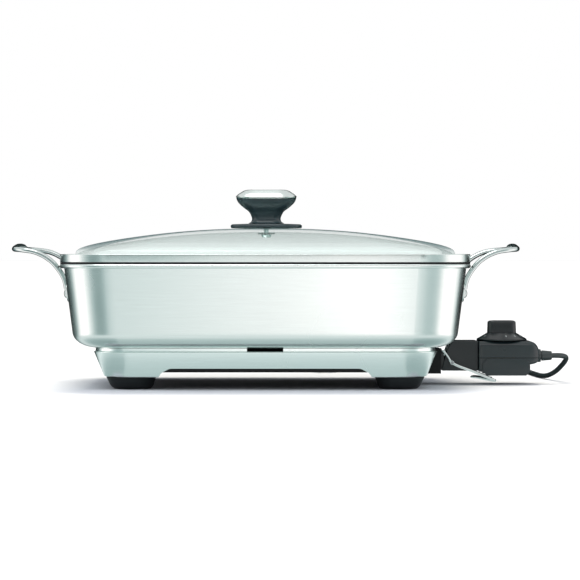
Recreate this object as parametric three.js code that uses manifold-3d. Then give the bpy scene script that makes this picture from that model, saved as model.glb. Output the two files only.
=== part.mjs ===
// An electric skillet: a deep stainless pan on a skirted base, a domed glass lid, two wire handles, and a
// plug-in temperature probe with its dial, release lever and mains cord.
// Millimetres, +Z up, +X towards the probe.
import * as THREE from "three";
import { mergeVertices } from "three/addons/utils/BufferGeometryUtils.js";
import Module from "manifold-3d";

const wasm = await Module();
wasm.setup();

// Driving dimensions of the whole
const panLength = 415; // outside of the wall, just under the rim
const panWidth = 313;
const panCorner = 51.5; // plan radius of the wall's corners
const panDepth = 82; // underside of the floor to the top of the straight wall
const panLift = 43; // floor of the room to the underside of the pan
const probeAxisHeight = 30.5; // sensor rod and cord exit
const fit = 0.3; // clearance between pieces that seat on each other
const overrun = 2; // how far a cutting shape runs past what it cuts

// Pan
const panWall = 1.8;
const panFloor = 3;
const wallDraft = 8; // how far the wall leans in on its way down
const bottomCurveAcross = 24.5;
const bottomCurveUp = 17;
const cornerKeepShare = 0.5; // share of an inset that the corner radius gives up
const rimRadius = 2.5; // rolled bead
const rimProud = 4.5; // bead beyond the wall
const rimRise = 5; // bead above the straight wall

// Lid
const lidBandProud = 4; // band beyond the pan wall
const lidBandHeight = 8.3;
const lidBandSheet = 1;
const lidBandShadow = 1.3; // dark line between bead and band
const lidBandStep = 1.5; // how far in the seat starts
const lidLipReach = 6.2; // inward lip over the glass
const bandEdgeShare = 0.3; // rounding of the band's upper edge, in sheets
const lidFlangeInset = 7.2; // locating flange inside the pan
const lidFlangeDrop = 7;
const glassThick = 4;
const gasketThick = 1.6;
const domeRise = 26.2;
const domeStart = 1.7; // foot of the dome above the band's top
const domeInset = 15.5; // foot of the dome inside the band's outline
const glassEdgeInset = 1.5;
const glassTurnShare = 0.6; // how soon the glass starts to rise under its edge, in thicknesses
const domeSlopeShares = [1, 0.975, 0.94, 0.89, 0.82, 0.73, 0.6, 0.44, 0.26, 0.1];
const domePowerShare = 0.46;
const domeSquarePower = 6; // how soon the rings lose their corners above the foot

// Knob on the lid
const knobBaseLength = 76.8;
const knobBaseWidth = 46;
const knobBaseEdge = 4.3;
const knobBaseCrown = 0.5;
const knobBaseWidthShares = [0.97, 1, 0.985, 0.93];
const knobBaseRiseShares = [0, 0.35, 0.8, 1];
const knobBaseCrownShare = 0.5;
const knobBaseCornerShare = 0.9;
const knobNeckLength = 30.8;
const knobNeckWidth = 21;
const knobHeadLength = 65;
const knobHeadWidth = 40;
const knobBodyHeight = 27.3;
const knobCapHeight = 10.1;
const knobCapRiseShares = [0, 0.1, 0.27, 0.5, 0.75, 0.92, 1];
const knobCapFlareShares = [0.99, 1.01, 0.96, 0.85, 0.65, 0.49, 0.3];
const knobCapSaddleShares = [1, 1, 0.55, 0.25, 0.08, 0, 0];
const knobCapSaddle = 1.6; // how far the edge of the cap dips at the middle of its long sides
const knobScrewRadius = 2.4;
const knobScrewHead = 5.5;
const knobScrewHeadHeight = 3;
const knobScrewGrip = 16;
const knobWasherRadius = 9;
const knobWasherThick = 1.6;
const knobHeightShares = [0, 0.08, 0.19, 0.33, 0.48, 0.6, 0.72, 0.87, 1];
const knobFlareShares = [0.22, 0.05, 0, 0.06, 0.19, 0.43, 0.67, 0.9, 0.99];
const knobCornerShare = 0.8;

// Handles
const rodRadius = 2.7;
const handleSpread = 78; // each leg from the middle plane
const handleReach = 59.9; // outside of the grip beyond the pan wall
const handleRise = 18.7; // ends of the grip above the straight wall
const handleBow = 4.8; // crown of the grip
const handleCorner = 21;
const handlePadDrop = 35; // lower end of the pads under the top of the straight wall
const handlePadHeight = 20;
const handlePadWidth = 15;
const handlePadThick = 3;
const rivetRise = 8.7; // rivet above the pad's lower end
const rivetShank = 2.4;
const rivetHead = 5.6;
const rivetHeadHeight = 2.8;
const legFootShare = 0.65; // where the rod ends on its pad
const legReachShares = [0, 0.02, 0.06, 0.15, 0.27, 0.41, 0.6, 0.79];
const legRiseShares = [0, 0.165, 0.32, 0.52, 0.71, 0.853, 0.965, 1];
const gripTurnShares = [0.35, 0.7, 1];
const gripCornerBowShare = 0.35;
const gripQuarterBowShare = 0.88;
const headShoulderShare = 0.8; // edge of a rivet, screw or bolt head

// Base
const skirtInset = 29.3; // skirt's widest line inside the pan wall
const ledgeHeight = 4; // stepped-in strip between skirt and pan
const skirtBottom = 13;
const skirtDraft = 9.9;
const skirtHem = 0.8; // turned-in lower edge
const skirtHemInset = 10.6;
const skirtSheet = 1.2;
const ledgeInset = 1.8;
const archHalf = 110;
const archRearHalf = 124.5; // the rear legs and feet are narrower, and hidden by the front ones
const archSideHalf = 52;
const archTop = 22;
const archShoulder = 17.5;
const archShoulderInset = 3.4;
const archTopInset = 11.8;
const slotHalf = 18.6; // dark slot under the pan's front edge
const slotDrop = 3.4;
const trayBottom = 18;
const trayThick = 2;
const trayEdge = 5;
const ventLength = 60;
const ventWidth = 5;
const ventPitch = 25;
const ventsPerSide = 4;

// Feet
const footHeight = 12.7;
const footLength = 51.1;
const footRearTrim = 12.5; // off the inner ends of the rear feet
const footRearEase = 1; // off their outer ends, whose corners are tighter
const footRearCornerShare = 0.985;
const footTaper = 8.3;
const footInnerTaper = 5.2;
const footRiseShares = [0, 0.1, 0.36, 1]; // up the foot's side, which is rounded under
const footTaperShares = [1, 0.76, 0.42, 0];
const footInset = 3.2; // top of the foot inside the skirt's widest line at its foot
const footCornerShare = 0.88;
const footNeckInset = 3;
const screwRadius = 1.9;
const screwHead = 4.2;
const screwHeadHeight = 2.6;
const screwSunk = 3;
const screwBossRadius = 5;
const screwBossHeight = 7;

// Heater under the pan
const spreaderEndInset = 57.5; // spreader inside the pan's ends
const spreaderSideInset = 56.5; // and inside its long sides
const spreaderCorner = 36;
const spreaderThick = 4;
const elementRadius = 3.5;
const elementEndInset = 32; // element's loop inside the spreader
const elementSideInset = 26;
const elementCorner = 24;
const elementColdInset = 12; // its cold ends stop this far before the socket
const pinSpread = 11;
const pinHeight = 24;
const pinRadius = 2;
const pinReach = 4; // pins stop this far inside the shroud's mouth
const sleeveRadius = 4.5;
const sleeveReach = 96; // from the socket inwards
const sleeveBlockHalf = 8;
const trayBoltInset = 28; // inside the element's long sides
const trayBoltRadius = 2.4;
const trayBoltHead = 5;
const trayBoltHeadHeight = 2.6;
const trayBossRadius = 6.5;

// Socket on the base
const shroudMouthInset = 20.5; // mouth inside the pan wall's widest line
const shroudDepth = 29;
const shroudHalfWidth = 22;
const shroudLow = 12;
const shroudHigh = 38.4;
const shroudWall = 3.6;

// Probe
const neckTopShoulder = 7; // how far the neck's face leans back over its height
const neckChamfer = 5;
const neckHalfWidth = 20;
const neckLow = 15;
const neckLength = 40;
const neckWall = 3.5;
const plugFit = 0.5;
const probeLength = 65; // both housings, behind the neck
const probeTop = 46.6;
const probeHalfWidth = 24;
const probeSplit = 28.85;
const probeLow = 14;
const probeWall = 2.2;
const probeBackTopRadius = 11;
const probeUnderRuns = [24, 15, 9, 3.6, 0]; // places under the cord exit, before the back
const probeUnderRises = [0, 7, 7.8, 9.2, 11.2];
const probeEdge = 3;
const cheekFrontInset = 4;
const cheekBackInset = 10;
const cheekLow = 10;
const cheekHigh = 28.4;
const cheekProud = 1.3;
const cheekThick = 2.5;
const cheekCorner = 9;
const rodSensorRadius = 2.75;
const sensorTipInset = 6; // tip inside the sleeve
const receptacleRadius = 3.4;
const receptacleFrontReach = 18.5; // from the socket's mouth towards the pan
const receptacleBackReach = 13;
const blockLength = 34;
const blockHalfWidth = 15;
const blockHeight = 9.4;
const bladeHalfWidth = 4;
const bladeLength = 30;
const bladeThick = 0.7;
const bladeFoot = 6;
const bladeLift = 1.9;
const housingScrewInset = 17.5;
const housingScrewSpread = 13;

// Dial
const dialSetback = 26.5; // its axis behind the neck
const dialRadius = 27;
const dialRimHeight = 1.7;
const dialConeTop = 15.4;
const dialConeHeight = 8.4;
const dialGripLength = 31.2;
const dialGripWidth = 17;
const dialGripCorner = 5.5;
const dialGripHeight = 13.2;
const dialGripTaper = 1.2;
const dialCrown = 1;
const spindleRadius = 3;
const spindleGrip = 12;

// Release lever
const wireRadius = 1.4;
const leverSpread = 27;
const leverPivotSetback = 11.4; // behind the socket's mouth
const leverPivotHeight = 24;
const leverTipBack = 9.7;
const leverTipRise = 13.2;
const leverEndReach = 46;
const leverEndDrop = 19.2;
const leverCurlBack = 23;
const leverCurlShares = [0.3, 0.8];
const leverPinRadius = 0.9;
const leverEyeRadius = 2.2;
const springRadius = 2.6;
const springWire = 0.45;
const springTurns = 4;
const springPitch = 1.6;

// Cord and plug, with places along X taken from the probe's back
const cordDiameter = 5.5;
const reliefRing = 7;
const reliefRingLength = 3.6;
const reliefInside = 6;
const reliefLength = 15.6;
const reliefTip = 3.9;
const reliefNeck = 4.6;
const reliefSleeve = 5.7;
const reliefSleeveTip = 4.7;
const reliefGroove = 1; // between the ring and the sleeve
const reliefFlange = 5.8;
const coilTurns = 3;
const coilCentreX = -172;
const coilCentreY = 315;
const coilOuter = 34; // middle of the cord in its widest turn
const turnGap = 0.6;
const tieThick = 0.8;
const tieWidth = 6;
const tieTurnShare = 0.75; // middle of the turns that it holds, in pitches
const plugLength = 34;
const plugReliefLength = 20;
const plugHalfWidth = 13;
const plugHalfHeight = 9;
const plugCorner = 5;
const plugCornerShare = 0.9;
const plugShoulderShare = 0.8;
const plugPlaceX = -225.4;
const plugPlaceY = 300;
const bladePinLength = 17;
const bladePinWidth = 6.4;
const bladePinThick = 1.6;
const bladePinSpread = 6.35;

// How finely curves are stepped
const cornerSteps = 4;
const fineSides = 16;
const coarseSides = 10;
const dialSides = 24;
const rodSides = 8;
const rodSteps = 38;
const wireSides = 6;
const wireSteps = 42;
const springSteps = 8; // per turn
const springSides = 5;
const cordSides = 8;
const coilSides = 6;
const coilSteps = 24; // per turn
const arcSteps = 5;
const runSteps = 40;
const tailSteps = 8;

// Sizes that follow from the ones above
const panTop = panLift + panDepth;
const handleTop = panTop + handleRise;
const handlePadFoot = panTop - handlePadDrop;
const skirtTop = panLift - ledgeHeight;
const wallAngle = Math.atan2(wallDraft, panDepth - bottomCurveUp);
const panOutline = { halfX: panLength / 2, halfY: panWidth / 2, corner: panCorner };
const beadHeight = panTop + rimRise / 2;
const rimTop = beadHeight + rimRadius;
const cordRadius = cordDiameter / 2;
const cordPitch = cordDiameter + turnGap;
const coilLow = cordRadius + tieThick + fit + fit / 3;
const skirtOutline = insetOutline(panOutline, skirtInset);
const shroudMouth = panLength / 2 - shroudMouthInset;
const shroudBack = shroudMouth - shroudDepth;
const neckBack = shroudMouth + neckLength;
const probeBack = neckBack + probeLength;
const dialPlace = neckBack + dialSetback;
const housingScrewPlace = probeBack - housingScrewInset;
const leverPivotPlace = shroudMouth + leverPivotSetback;
const spreaderHalfLength = panLength / 2 - spreaderEndInset;
const spreaderHalfWidth = panWidth / 2 - spreaderSideInset;
const elementHalfLength = spreaderHalfLength - elementEndInset;
const elementHalfWidth = spreaderHalfWidth - elementSideInset;
const elementColdEnd = shroudBack - elementColdInset;
const trayBoltPlace = elementHalfWidth - trayBoltInset;
const sleeveStart = shroudBack - sleeveReach;
const nose = {
  halfY: shroudHalfWidth - shroudWall - plugFit,
  low: shroudLow + shroudWall + plugFit,
  high: shroudHigh - shroudWall - plugFit,
};
const wireGap = leverSpread - wireRadius;

// Materials
const steel = finish(0xc9d0cd, 0.32, 1);
const polished = finish(0xe4e8e6, 0.12, 1);
const darkSteel = finish(0x5a6062, 0.5, 1);
const aluminium = finish(0xb4b8ba, 0.45, 1);
const brass = finish(0xb99a55, 0.35, 1);
const plastic = finish(0x33393b, 0.42, 0);
const knobPlastic = finish(0x3c474b, 0.4, 0);
const blackPlastic = finish(0x1b1d1e, 0.6, 0);
const rubber = finish(0x17191a, 0.8, 0);
const ceramic = finish(0xd9d3c4, 0.7, 0);
const silicone = finish(0x6d7476, 0.6, 0);
const cordRubber = finish(0x2a2d2e, 0.55, 0);
const glass = finish(0xdfe9e6, 0.05, 0);

function finish(color, roughness, metalness) {
  return new THREE.MeshStandardMaterial({ color, roughness, metalness });
}

// Solids and booleans
function solidOf(geometry) {
  const bare = geometry.clone();
  bare.deleteAttribute("normal");
  bare.deleteAttribute("uv");
  const merged = mergeVertices(bare);
  const vertProperties = new Float32Array(merged.attributes.position.array);
  const triVerts = new Uint32Array(merged.index.array);
  return new wasm.Manifold(new wasm.Mesh({ numProp: 3, vertProperties, triVerts }));
}

function geometryOf(solid) {
  const made = solid.getMesh();
  const geometry = new THREE.BufferGeometry();
  geometry.setAttribute("position", new THREE.BufferAttribute(new Float32Array(made.vertProperties), 3));
  geometry.setIndex(new THREE.BufferAttribute(new Uint32Array(made.triVerts), 1));
  return geometry;
}

function join(...geometries) {
  return geometryOf(geometries.map(solidOf).reduce((a, b) => a.add(b)));
}

function cut(body, ...tools) {
  return geometryOf(tools.map(solidOf).reduce((a, b) => a.subtract(b), solidOf(body)));
}

function piece(name, geometry, material) {
  const shown = geometry.index ? geometry.toNonIndexed() : geometry;
  shown.computeVertexNormals();
  const mesh = new THREE.Mesh(shown, material);
  mesh.name = name;
  return mesh;
}

// Rounded rectangles and lofts between them
function insetOutline(outline, inset) {
  return {
    halfX: outline.halfX - inset,
    halfY: outline.halfY - inset,
    corner: outline.corner - inset * cornerKeepShare,
  };
}

function ring({ halfX, halfY, corner }, z, steps = cornerSteps) {
  const points = [];
  const signs = [[1, 1], [-1, 1], [-1, -1], [1, -1]];
  signs.forEach(([sx, sy], quarter) => {
    for (let i = 0; i <= steps; i++) {
      const angle = ((quarter + i / steps) * Math.PI) / 2;
      const x = sx * (halfX - corner) + corner * Math.cos(angle);
      const y = sy * (halfY - corner) + corner * Math.sin(angle);
      points.push(new THREE.Vector3(x, y, z));
    }
  });
  return points;
}

// Joins rings of equal count. A closed loft runs back to its first ring, an open one is capped at both ends.
function loft(rings, closed = false) {
  const count = rings[0].length;
  const points = rings.flat();
  const index = [];
  const last = closed ? rings.length : rings.length - 1;
  for (let k = 0; k < last; k++) {
    const low = k * count;
    const high = ((k + 1) % rings.length) * count;
    for (let i = 0; i < count; i++) {
      const next = (i + 1) % count;
      index.push(low + i, low + next, high + next, low + i, high + next, high + i);
    }
  }
  if (!closed) {
    const ends = [rings[0], rings[rings.length - 1]];
    ends.forEach((end, top) => {
      const middle = new THREE.Vector3();
      end.forEach((p) => middle.add(p));
      points.push(middle.divideScalar(count));
      const from = top ? (rings.length - 1) * count : 0;
      for (let i = 0; i < count; i++) {
        const next = (i + 1) % count;
        index.push(points.length - 1, from + (top ? i : next), from + (top ? next : i));
      }
    });
  }
  const geometry = new THREE.BufferGeometry().setFromPoints(points);
  geometry.setIndex(index);
  return geometry;
}

// A profile of [inset, height] pairs carried round an outline.
function profiled(outline, profile, closed = false) {
  return loft(profile.map(([inset, z]) => ring(insetOutline(outline, inset), z)), closed);
}

function moved(geometry, x, y, z) {
  geometry.translate(x, y, z);
  return geometry;
}

function block(x0, x1, y0, y1, z0, z1) {
  const box = new THREE.BoxGeometry(x1 - x0, y1 - y0, z1 - z0);
  return moved(box, (x0 + x1) / 2, (y0 + y1) / 2, (z0 + z1) / 2);
}

// A turned piece about +Z from [radius, height] pairs, listed from the bottom up.
function turned(profile, sides = fineSides) {
  const points = profile.map(([radius, height]) => new THREE.Vector2(radius, height));
  return new THREE.LatheGeometry(points, sides).rotateX(Math.PI / 2);
}

function rodAlongZ(radius, z0, z1, sides = coarseSides) {
  return turned([[0, z0], [radius, z0], [radius, z1], [0, z1]], sides);
}

function rodAlongX(radius, x0, x1, sides = coarseSides) {
  return rodAlongZ(radius, x0, x1, sides).rotateY(Math.PI / 2);
}

function rodAlongY(radius, y0, y1, sides = coarseSides) {
  return rodAlongZ(radius, -y1, -y0, sides).rotateX(Math.PI / 2);
}

function tubeAlongX(outer, inner, x0, x1, sides = coarseSides) {
  const wall = [[inner, x0], [outer, x0], [outer, x1], [inner, x1], [inner, x0]];
  return turned(wall, sides).rotateY(Math.PI / 2);
}

function disc(radius, sides) {
  const shape = new THREE.Shape();
  for (let i = 0; i < sides; i++) {
    const angle = (i / sides) * 2 * Math.PI;
    const put = i ? "lineTo" : "moveTo";
    shape[put](radius * Math.cos(angle), radius * Math.sin(angle));
  }
  shape.closePath();
  return shape;
}

function tube(curve, radius, sides, steps) {
  return new THREE.ExtrudeGeometry(disc(radius, sides), { steps, extrudePath: curve, bevelEnabled: false });
}

// A shape drawn in the XZ plane, given thickness along Y about the middle plane.
function slabAcross(shape, halfWidth, edge = 0, edgeSteps = 2) {
  const depth = 2 * (halfWidth - edge);
  const bevel = { bevelThickness: edge, bevelSize: edge, bevelOffset: -edge, bevelSegments: edgeSteps };
  const options = { depth, bevelEnabled: edge > 0, ...bevel, curveSegments: arcSteps };
  const slab = new THREE.ExtrudeGeometry(shape, options);
  return slab.translate(0, 0, -depth / 2).rotateX(Math.PI / 2);
}

function polygon(points) {
  return new THREE.Shape(points.map(([x, z]) => new THREE.Vector2(x, z)));
}

// Pan
function wallInset(z) {
  return (wallDraft * (panTop - z)) / (panDepth - bottomCurveUp);
}

function panOuterX(z) {
  return panLength / 2 - wallInset(z);
}

function bottomCurve(lift, across, up, startInset) {
  const points = [];
  for (let i = 0; i <= arcSteps; i++) {
    const angle = (i / arcSteps) * (Math.PI / 2);
    points.push([startInset + across * (1 - Math.sin(angle)), lift + up * (1 - Math.cos(angle))]);
  }
  return points;
}

function panShell() {
  const outside = bottomCurve(panLift, bottomCurveAcross, bottomCurveUp, wallDraft);
  const bead = [];
  for (let i = 0; i <= 2 * arcSteps; i++) {
    const angle = -Math.PI / 2 + (i / (2 * arcSteps)) * Math.PI * 1.5;
    bead.push([rimRadius - rimProud - rimRadius * Math.cos(angle), beadHeight + rimRadius * Math.sin(angle)]);
  }
  const inside = bottomCurve(
    panLift + panFloor,
    bottomCurveAcross - panFloor + panWall,
    bottomCurveUp - panFloor + panWall,
    wallDraft + panWall,
  );
  const profile = [
    ...outside,
    [0, panTop],
    ...bead,
    [panWall, panTop],
    ...inside.reverse(),
  ];
  const holes = [];
  for (const side of [-1, 1]) {
    for (const leg of [-1, 1]) holes.push(rivetHole(side, leg));
  }
  return cut(profiled(panOutline, profile), ...holes);
}

// Handles and their rivets
function rivetFrame(side, leg) {
  const z = handlePadFoot + rivetRise;
  const frame = new THREE.Matrix4().makeTranslation(side * panOuterX(z), leg * handleSpread, z);
  return frame.multiply(new THREE.Matrix4().makeRotationY(side * (Math.PI / 2 + wallAngle)));
}

function rivetHole(side, leg) {
  const reach = panWall + handlePadThick + overrun;
  return rodAlongZ(rivetShank + fit, -reach, reach).applyMatrix4(rivetFrame(side, leg));
}

function rivet(side, leg) {
  const outside = handlePadThick + 2 * fit;
  const inside = -panWall - fit;
  const profile = [
    [0, inside - rivetHeadHeight],
    [rivetHead * headShoulderShare, inside - rivetHeadHeight * headShoulderShare],
    [rivetHead, inside],
    [rivetShank, inside],
    [rivetShank, outside],
    [rivetHead * headShoulderShare, outside],
    [rivetHead * headShoulderShare ** 2, outside + rivetHeadHeight * headShoulderShare],
    [0, outside + rivetHeadHeight],
  ];
  return turned(profile, coarseSides).applyMatrix4(rivetFrame(side, leg));
}

function handleCurve(side) {
  const foot = handlePadFoot + handlePadHeight * legFootShare;
  const start = panOuterX(foot) + fit + rodRadius;
  const end = panLength / 2 + handleReach - rodRadius;
  const leg = legReachShares.map((share, i) => {
    const z = foot + (handleTop - foot) * legRiseShares[i];
    return [start + (end - start) * share, handleSpread, z];
  });
  const bend = gripTurnShares.map((share) => {
    const angle = (share * Math.PI) / 2;
    const x = end - handleCorner * (1 - Math.sin(angle));
    const y = handleSpread - handleCorner * (1 - Math.cos(angle));
    return [x, y, handleTop + handleBow * gripCornerBowShare * share];
  });
  const quarter = [end, (handleSpread - handleCorner) / 2, handleTop + handleBow * gripQuarterBowShare];
  const half = [...leg.filter(([x]) => x < bend[0][0] - rodRadius), ...bend, quarter];
  const crown = [end, 0, handleTop + handleBow];
  const mirrored = half.map(([x, y, z]) => [x, -y, z]).reverse();
  const points = [...half, crown, ...mirrored].map(([x, y, z]) => new THREE.Vector3(side * x, side * y, z));
  return new THREE.CatmullRomCurve3(points, false, "centripetal");
}

function handlePad(side, leg) {
  const low = handlePadFoot;
  const high = handlePadFoot + handlePadHeight;
  const corner = handlePadWidth / 2 - fit;
  const outline = { halfX: handlePadHeight / 2, halfY: handlePadWidth / 2, corner };
  const pad = loft([ring(outline, fit), ring(outline, fit + handlePadThick)]);
  pad.rotateY(side * (Math.PI / 2 + wallAngle));
  return moved(pad, side * panOuterX((low + high) / 2), leg * handleSpread, (low + high) / 2);
}

function handle(side) {
  const rod = tube(handleCurve(side), rodRadius, rodSides, rodSteps);
  const bail = join(rod, handlePad(side, 1), handlePad(side, -1));
  return cut(bail, rivetHole(side, 1), rivetHole(side, -1));
}

// Lid
const bandOutline = insetOutline(panOutline, -lidBandProud);
const bandBottom = rimTop + lidBandShadow;
const bandTop = bandBottom + lidBandHeight;
const seatBottom = rimTop + fit;

function lidRim() {
  const lip = bandTop - lidBandSheet;
  const plate = bandBottom + lidBandSheet;
  return profiled(bandOutline, [
    [0, bandBottom],
    [0, lip],
    [lidBandSheet * bandEdgeShare, bandTop - lidBandSheet * bandEdgeShare],
    [lidBandSheet, bandTop],
    [lidLipReach, bandTop],
    [lidLipReach, lip],
    [lidBandSheet, lip],
    [lidBandSheet, plate],
    [lidFlangeInset + lidBandSheet, plate],
    [lidFlangeInset + lidBandSheet, seatBottom - lidFlangeDrop],
    [lidFlangeInset, seatBottom - lidFlangeDrop],
    [lidFlangeInset, seatBottom],
    [lidBandStep, seatBottom],
    [lidBandStep, bandBottom],
  ], true);
}

function gasketSpan() {
  const low = bandBottom + lidBandSheet + fit;
  return [low, low + gasketThick];
}

function lidGasket() {
  const [low, high] = gasketSpan();
  const outer = lidBandSheet + fit;
  const inner = lidFlangeInset;
  return profiled(bandOutline, [[outer, low], [outer, high], [inner, high], [inner, low]], true);
}

// Rings of the dome from its foot to near its crown. Their outline turns from a rounded box to an ellipse.
function domeRings(drop) {
  const foot = insetOutline(bandOutline, domeInset);
  const start = ring(foot, 0);
  return domeSlopeShares.map((share) => {
    const z = bandTop + domeStart - drop + domeRise * (1 - share ** 2) ** domePowerShare;
    return start.map((p) => {
      const angle = Math.atan2(p.y / foot.halfY, p.x / foot.halfX);
      const keep = share ** domeSquarePower;
      const x = p.x * keep + foot.halfX * Math.cos(angle) * (1 - keep);
      const y = p.y * keep + foot.halfY * Math.sin(angle) * (1 - keep);
      return new THREE.Vector3(share * x, share * y, z);
    });
  });
}

const domeTop = bandTop + domeStart + domeRise * (1 - domeSlopeShares.at(-1) ** 2) ** domePowerShare;

function lidGlass() {
  const low = gasketSpan()[1] + fit;
  const high = Math.min(low + glassThick, bandTop - lidBandSheet - fit);
  const edge = ring(insetOutline(bandOutline, glassEdgeInset), low);
  const edgeTop = ring(insetOutline(bandOutline, glassEdgeInset), high);
  const shoulder = ring(insetOutline(bandOutline, domeInset - fit), high);
  const inner = ring(insetOutline(bandOutline, domeInset + glassThick * glassTurnShare), low);
  const under = domeRings(glassThick).slice(1).reverse();
  const shell = loft([...under, inner, edge, edgeTop, shoulder, ...domeRings(0)]);
  return cut(shell, rodAlongZ(knobScrewRadius + fit, low, domeTop + overrun));
}

// Knob
function knobBase() {
  const low = domeTop + fit;
  const halfX = knobBaseLength / 2;
  const halfY = knobBaseWidth / 2;
  const corner = halfY * knobBaseCornerShare;
  const plate = (share, z) => {
    return ring({ halfX: halfX * share, halfY: halfY * share, corner: corner * share }, z);
  };
  const edge = knobBaseWidthShares.map((share, i) => {
    return plate(share, low + knobBaseEdge * knobBaseRiseShares[i]);
  });
  const high = low + knobBaseEdge + knobBaseCrown;
  const body = loft([...edge, plate(knobBaseCrownShare, high)]);
  return cut(body, rodAlongZ(knobScrewRadius + fit, low - overrun, high + overrun));
}

const knobBottom = domeTop + knobBaseEdge + knobBaseCrown + 2 * fit;
const knobShoulder = knobBottom + knobBodyHeight;

function knobRing(share, z, lift) {
  const halfX = knobNeckLength / 2 + ((knobHeadLength - knobNeckLength) / 2) * share;
  const halfY = knobNeckWidth / 2 + ((knobHeadWidth - knobNeckWidth) / 2) * share;
  const points = ring({ halfX, halfY, corner: halfY * knobCornerShare }, z);
  points.forEach((p) => {
    p.z += lift * (p.x / halfX) ** 2;
  });
  return points;
}

function knobBody() {
  const rings = knobHeightShares.map((share, i) => {
    const z = knobBottom + (knobBodyHeight - knobCapSaddle) * share;
    return knobRing(knobFlareShares[i], z, knobCapSaddle * share ** 3);
  });
  return cut(loft(rings), rodAlongZ(knobScrewRadius + fit, knobBottom - overrun, knobBottom + knobScrewGrip));
}

function knobCap() {
  const low = knobShoulder - knobCapSaddle + fit;
  return loft(knobCapFlareShares.map((share, i) => {
    const z = low + knobCapHeight * knobCapRiseShares[i];
    return knobRing(share, z, knobCapSaddle * knobCapSaddleShares[i]);
  }));
}

function knobScrew() {
  const washerLow = domeTop - glassThick - knobWasherThick - 2 * fit;
  const headTop = washerLow - fit;
  return turned([
    [0, headTop - knobScrewHeadHeight],
    [knobScrewHead * headShoulderShare, headTop - knobScrewHeadHeight],
    [knobScrewHead, headTop - knobScrewHeadHeight / 3],
    [knobScrewHead, headTop],
    [knobScrewRadius, headTop],
    [knobScrewRadius, knobBottom + knobScrewGrip - fit],
    [0, knobBottom + knobScrewGrip - fit],
  ], coarseSides);
}

function knobWasher() {
  const high = domeTop - glassThick - 2 * fit;
  const low = high - knobWasherThick;
  const inner = knobScrewRadius + fit;
  const outer = knobWasherRadius;
  return turned([[inner, low], [outer, low], [outer, high], [inner, high], [inner, low]]);
}

// Base
function archCut(half, along) {
  const shape = polygon([
    [-half, -overrun],
    [half, -overrun],
    [half, skirtBottom],
    [half - archShoulderInset, archShoulder],
    [half - archTopInset, archTop],
    [archTopInset - half, archTop],
    [archShoulderInset - half, archShoulder],
    [-half, skirtBottom],
  ]);
  return along === "y" ? slabAcross(shape, panWidth) : slabAcross(shape, panLength).rotateZ(Math.PI / 2);
}

function skirtInnerInset(z) {
  const foot = skirtBottom + skirtHem;
  return skirtSheet + (skirtDraft * (skirtTop - z)) / (skirtTop - foot);
}

function baseSkirt() {
  const foot = skirtBottom + skirtHem;
  const top = panLift - fit;
  const wall = profiled(skirtOutline, [
    [skirtHemInset, skirtBottom],
    [skirtDraft, foot],
    [0, skirtTop],
    [ledgeInset, skirtTop + fit],
    [ledgeInset, top],
    [ledgeInset + skirtSheet, top],
    [ledgeInset + skirtSheet, skirtTop - skirtSheet],
    [skirtDraft + skirtSheet, foot],
    [skirtHemInset + skirtSheet, skirtBottom],
  ], true);
  const slot = block(-slotHalf, slotHalf, -panWidth, 0, panLift - slotDrop, panLift);
  const rightHalf = block(0, panLength, -panWidth, panWidth, -panLift, panLift);
  const leftArch = cut(archCut(archSideHalf, "x"), rightHalf);
  const room = shroudHalfWidth + fit;
  const socket = block(0, panLength, -room, room, -overrun, shroudHigh + fit);
  const rearHalf = block(-panLength, panLength, 0, panWidth, -panLift, panLift);
  const frontArch = cut(archCut(archHalf, "y"), rearHalf);
  const rearArch = cut(archCut(archRearHalf, "y"), moved(rearHalf, 0, -panWidth, 0));
  return cut(wall, frontArch, rearArch, leftArch, slot, socket);
}

const footSpots = [
  ["front_left", -1, -1],
  ["front_right", 1, -1],
  ["rear_left", -1, 1],
  ["rear_right", 1, 1],
];
const footOuterX = skirtOutline.halfX - skirtDraft - footInset;
const footOuterY = skirtOutline.halfY - skirtDraft - footInset;
const footCentreX = footOuterX - footLength / 2;
const footCentreY = footOuterY - footLength / 2;
const trayFloor = trayBottom + trayThick;

function trayBolts() {
  return [-1, 1].map((side) => side * trayBoltPlace);
}

function baseTray() {
  const outer = skirtInnerInset(trayBottom) + fit;
  const plate = profiled(skirtOutline, [
    [outer, trayBottom],
    [outer, trayBottom + trayEdge],
    [outer + trayThick, trayBottom + trayEdge],
    [outer + trayThick, trayFloor],
  ]);
  const parts = [plate];
  const holes = [];
  for (const [, sx, sy] of footSpots) {
    const boss = rodAlongZ(screwBossRadius, trayFloor - fit, trayFloor + screwBossHeight);
    parts.push(moved(boss, sx * footCentreX, sy * footCentreY, 0));
    const hole = rodAlongZ(screwRadius + fit, trayBottom - overrun, trayFloor + screwBossHeight + overrun);
    holes.push(moved(hole, sx * footCentreX, sy * footCentreY, 0));
  }
  for (const y of trayBolts()) {
    holes.push(moved(rodAlongZ(trayBoltRadius + fit, trayBottom - overrun, trayFloor + overrun), 0, y, 0));
  }
  for (const side of [-1, 1]) {
    for (let i = 1; i <= ventsPerSide; i++) {
      const x = side * i * ventPitch;
      const halfX = ventWidth / 2;
      const halfY = ventLength / 2;
      const vent = block(x - halfX, x + halfX, -halfY, halfY, trayBottom - overrun, trayFloor + overrun);
      holes.push(vent);
    }
  }
  const room = shroudHalfWidth + fit;
  holes.push(block(shroudBack - fit, panLength, -room, room, 0, panLift));
  return cut(join(...parts), ...holes);
}

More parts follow.
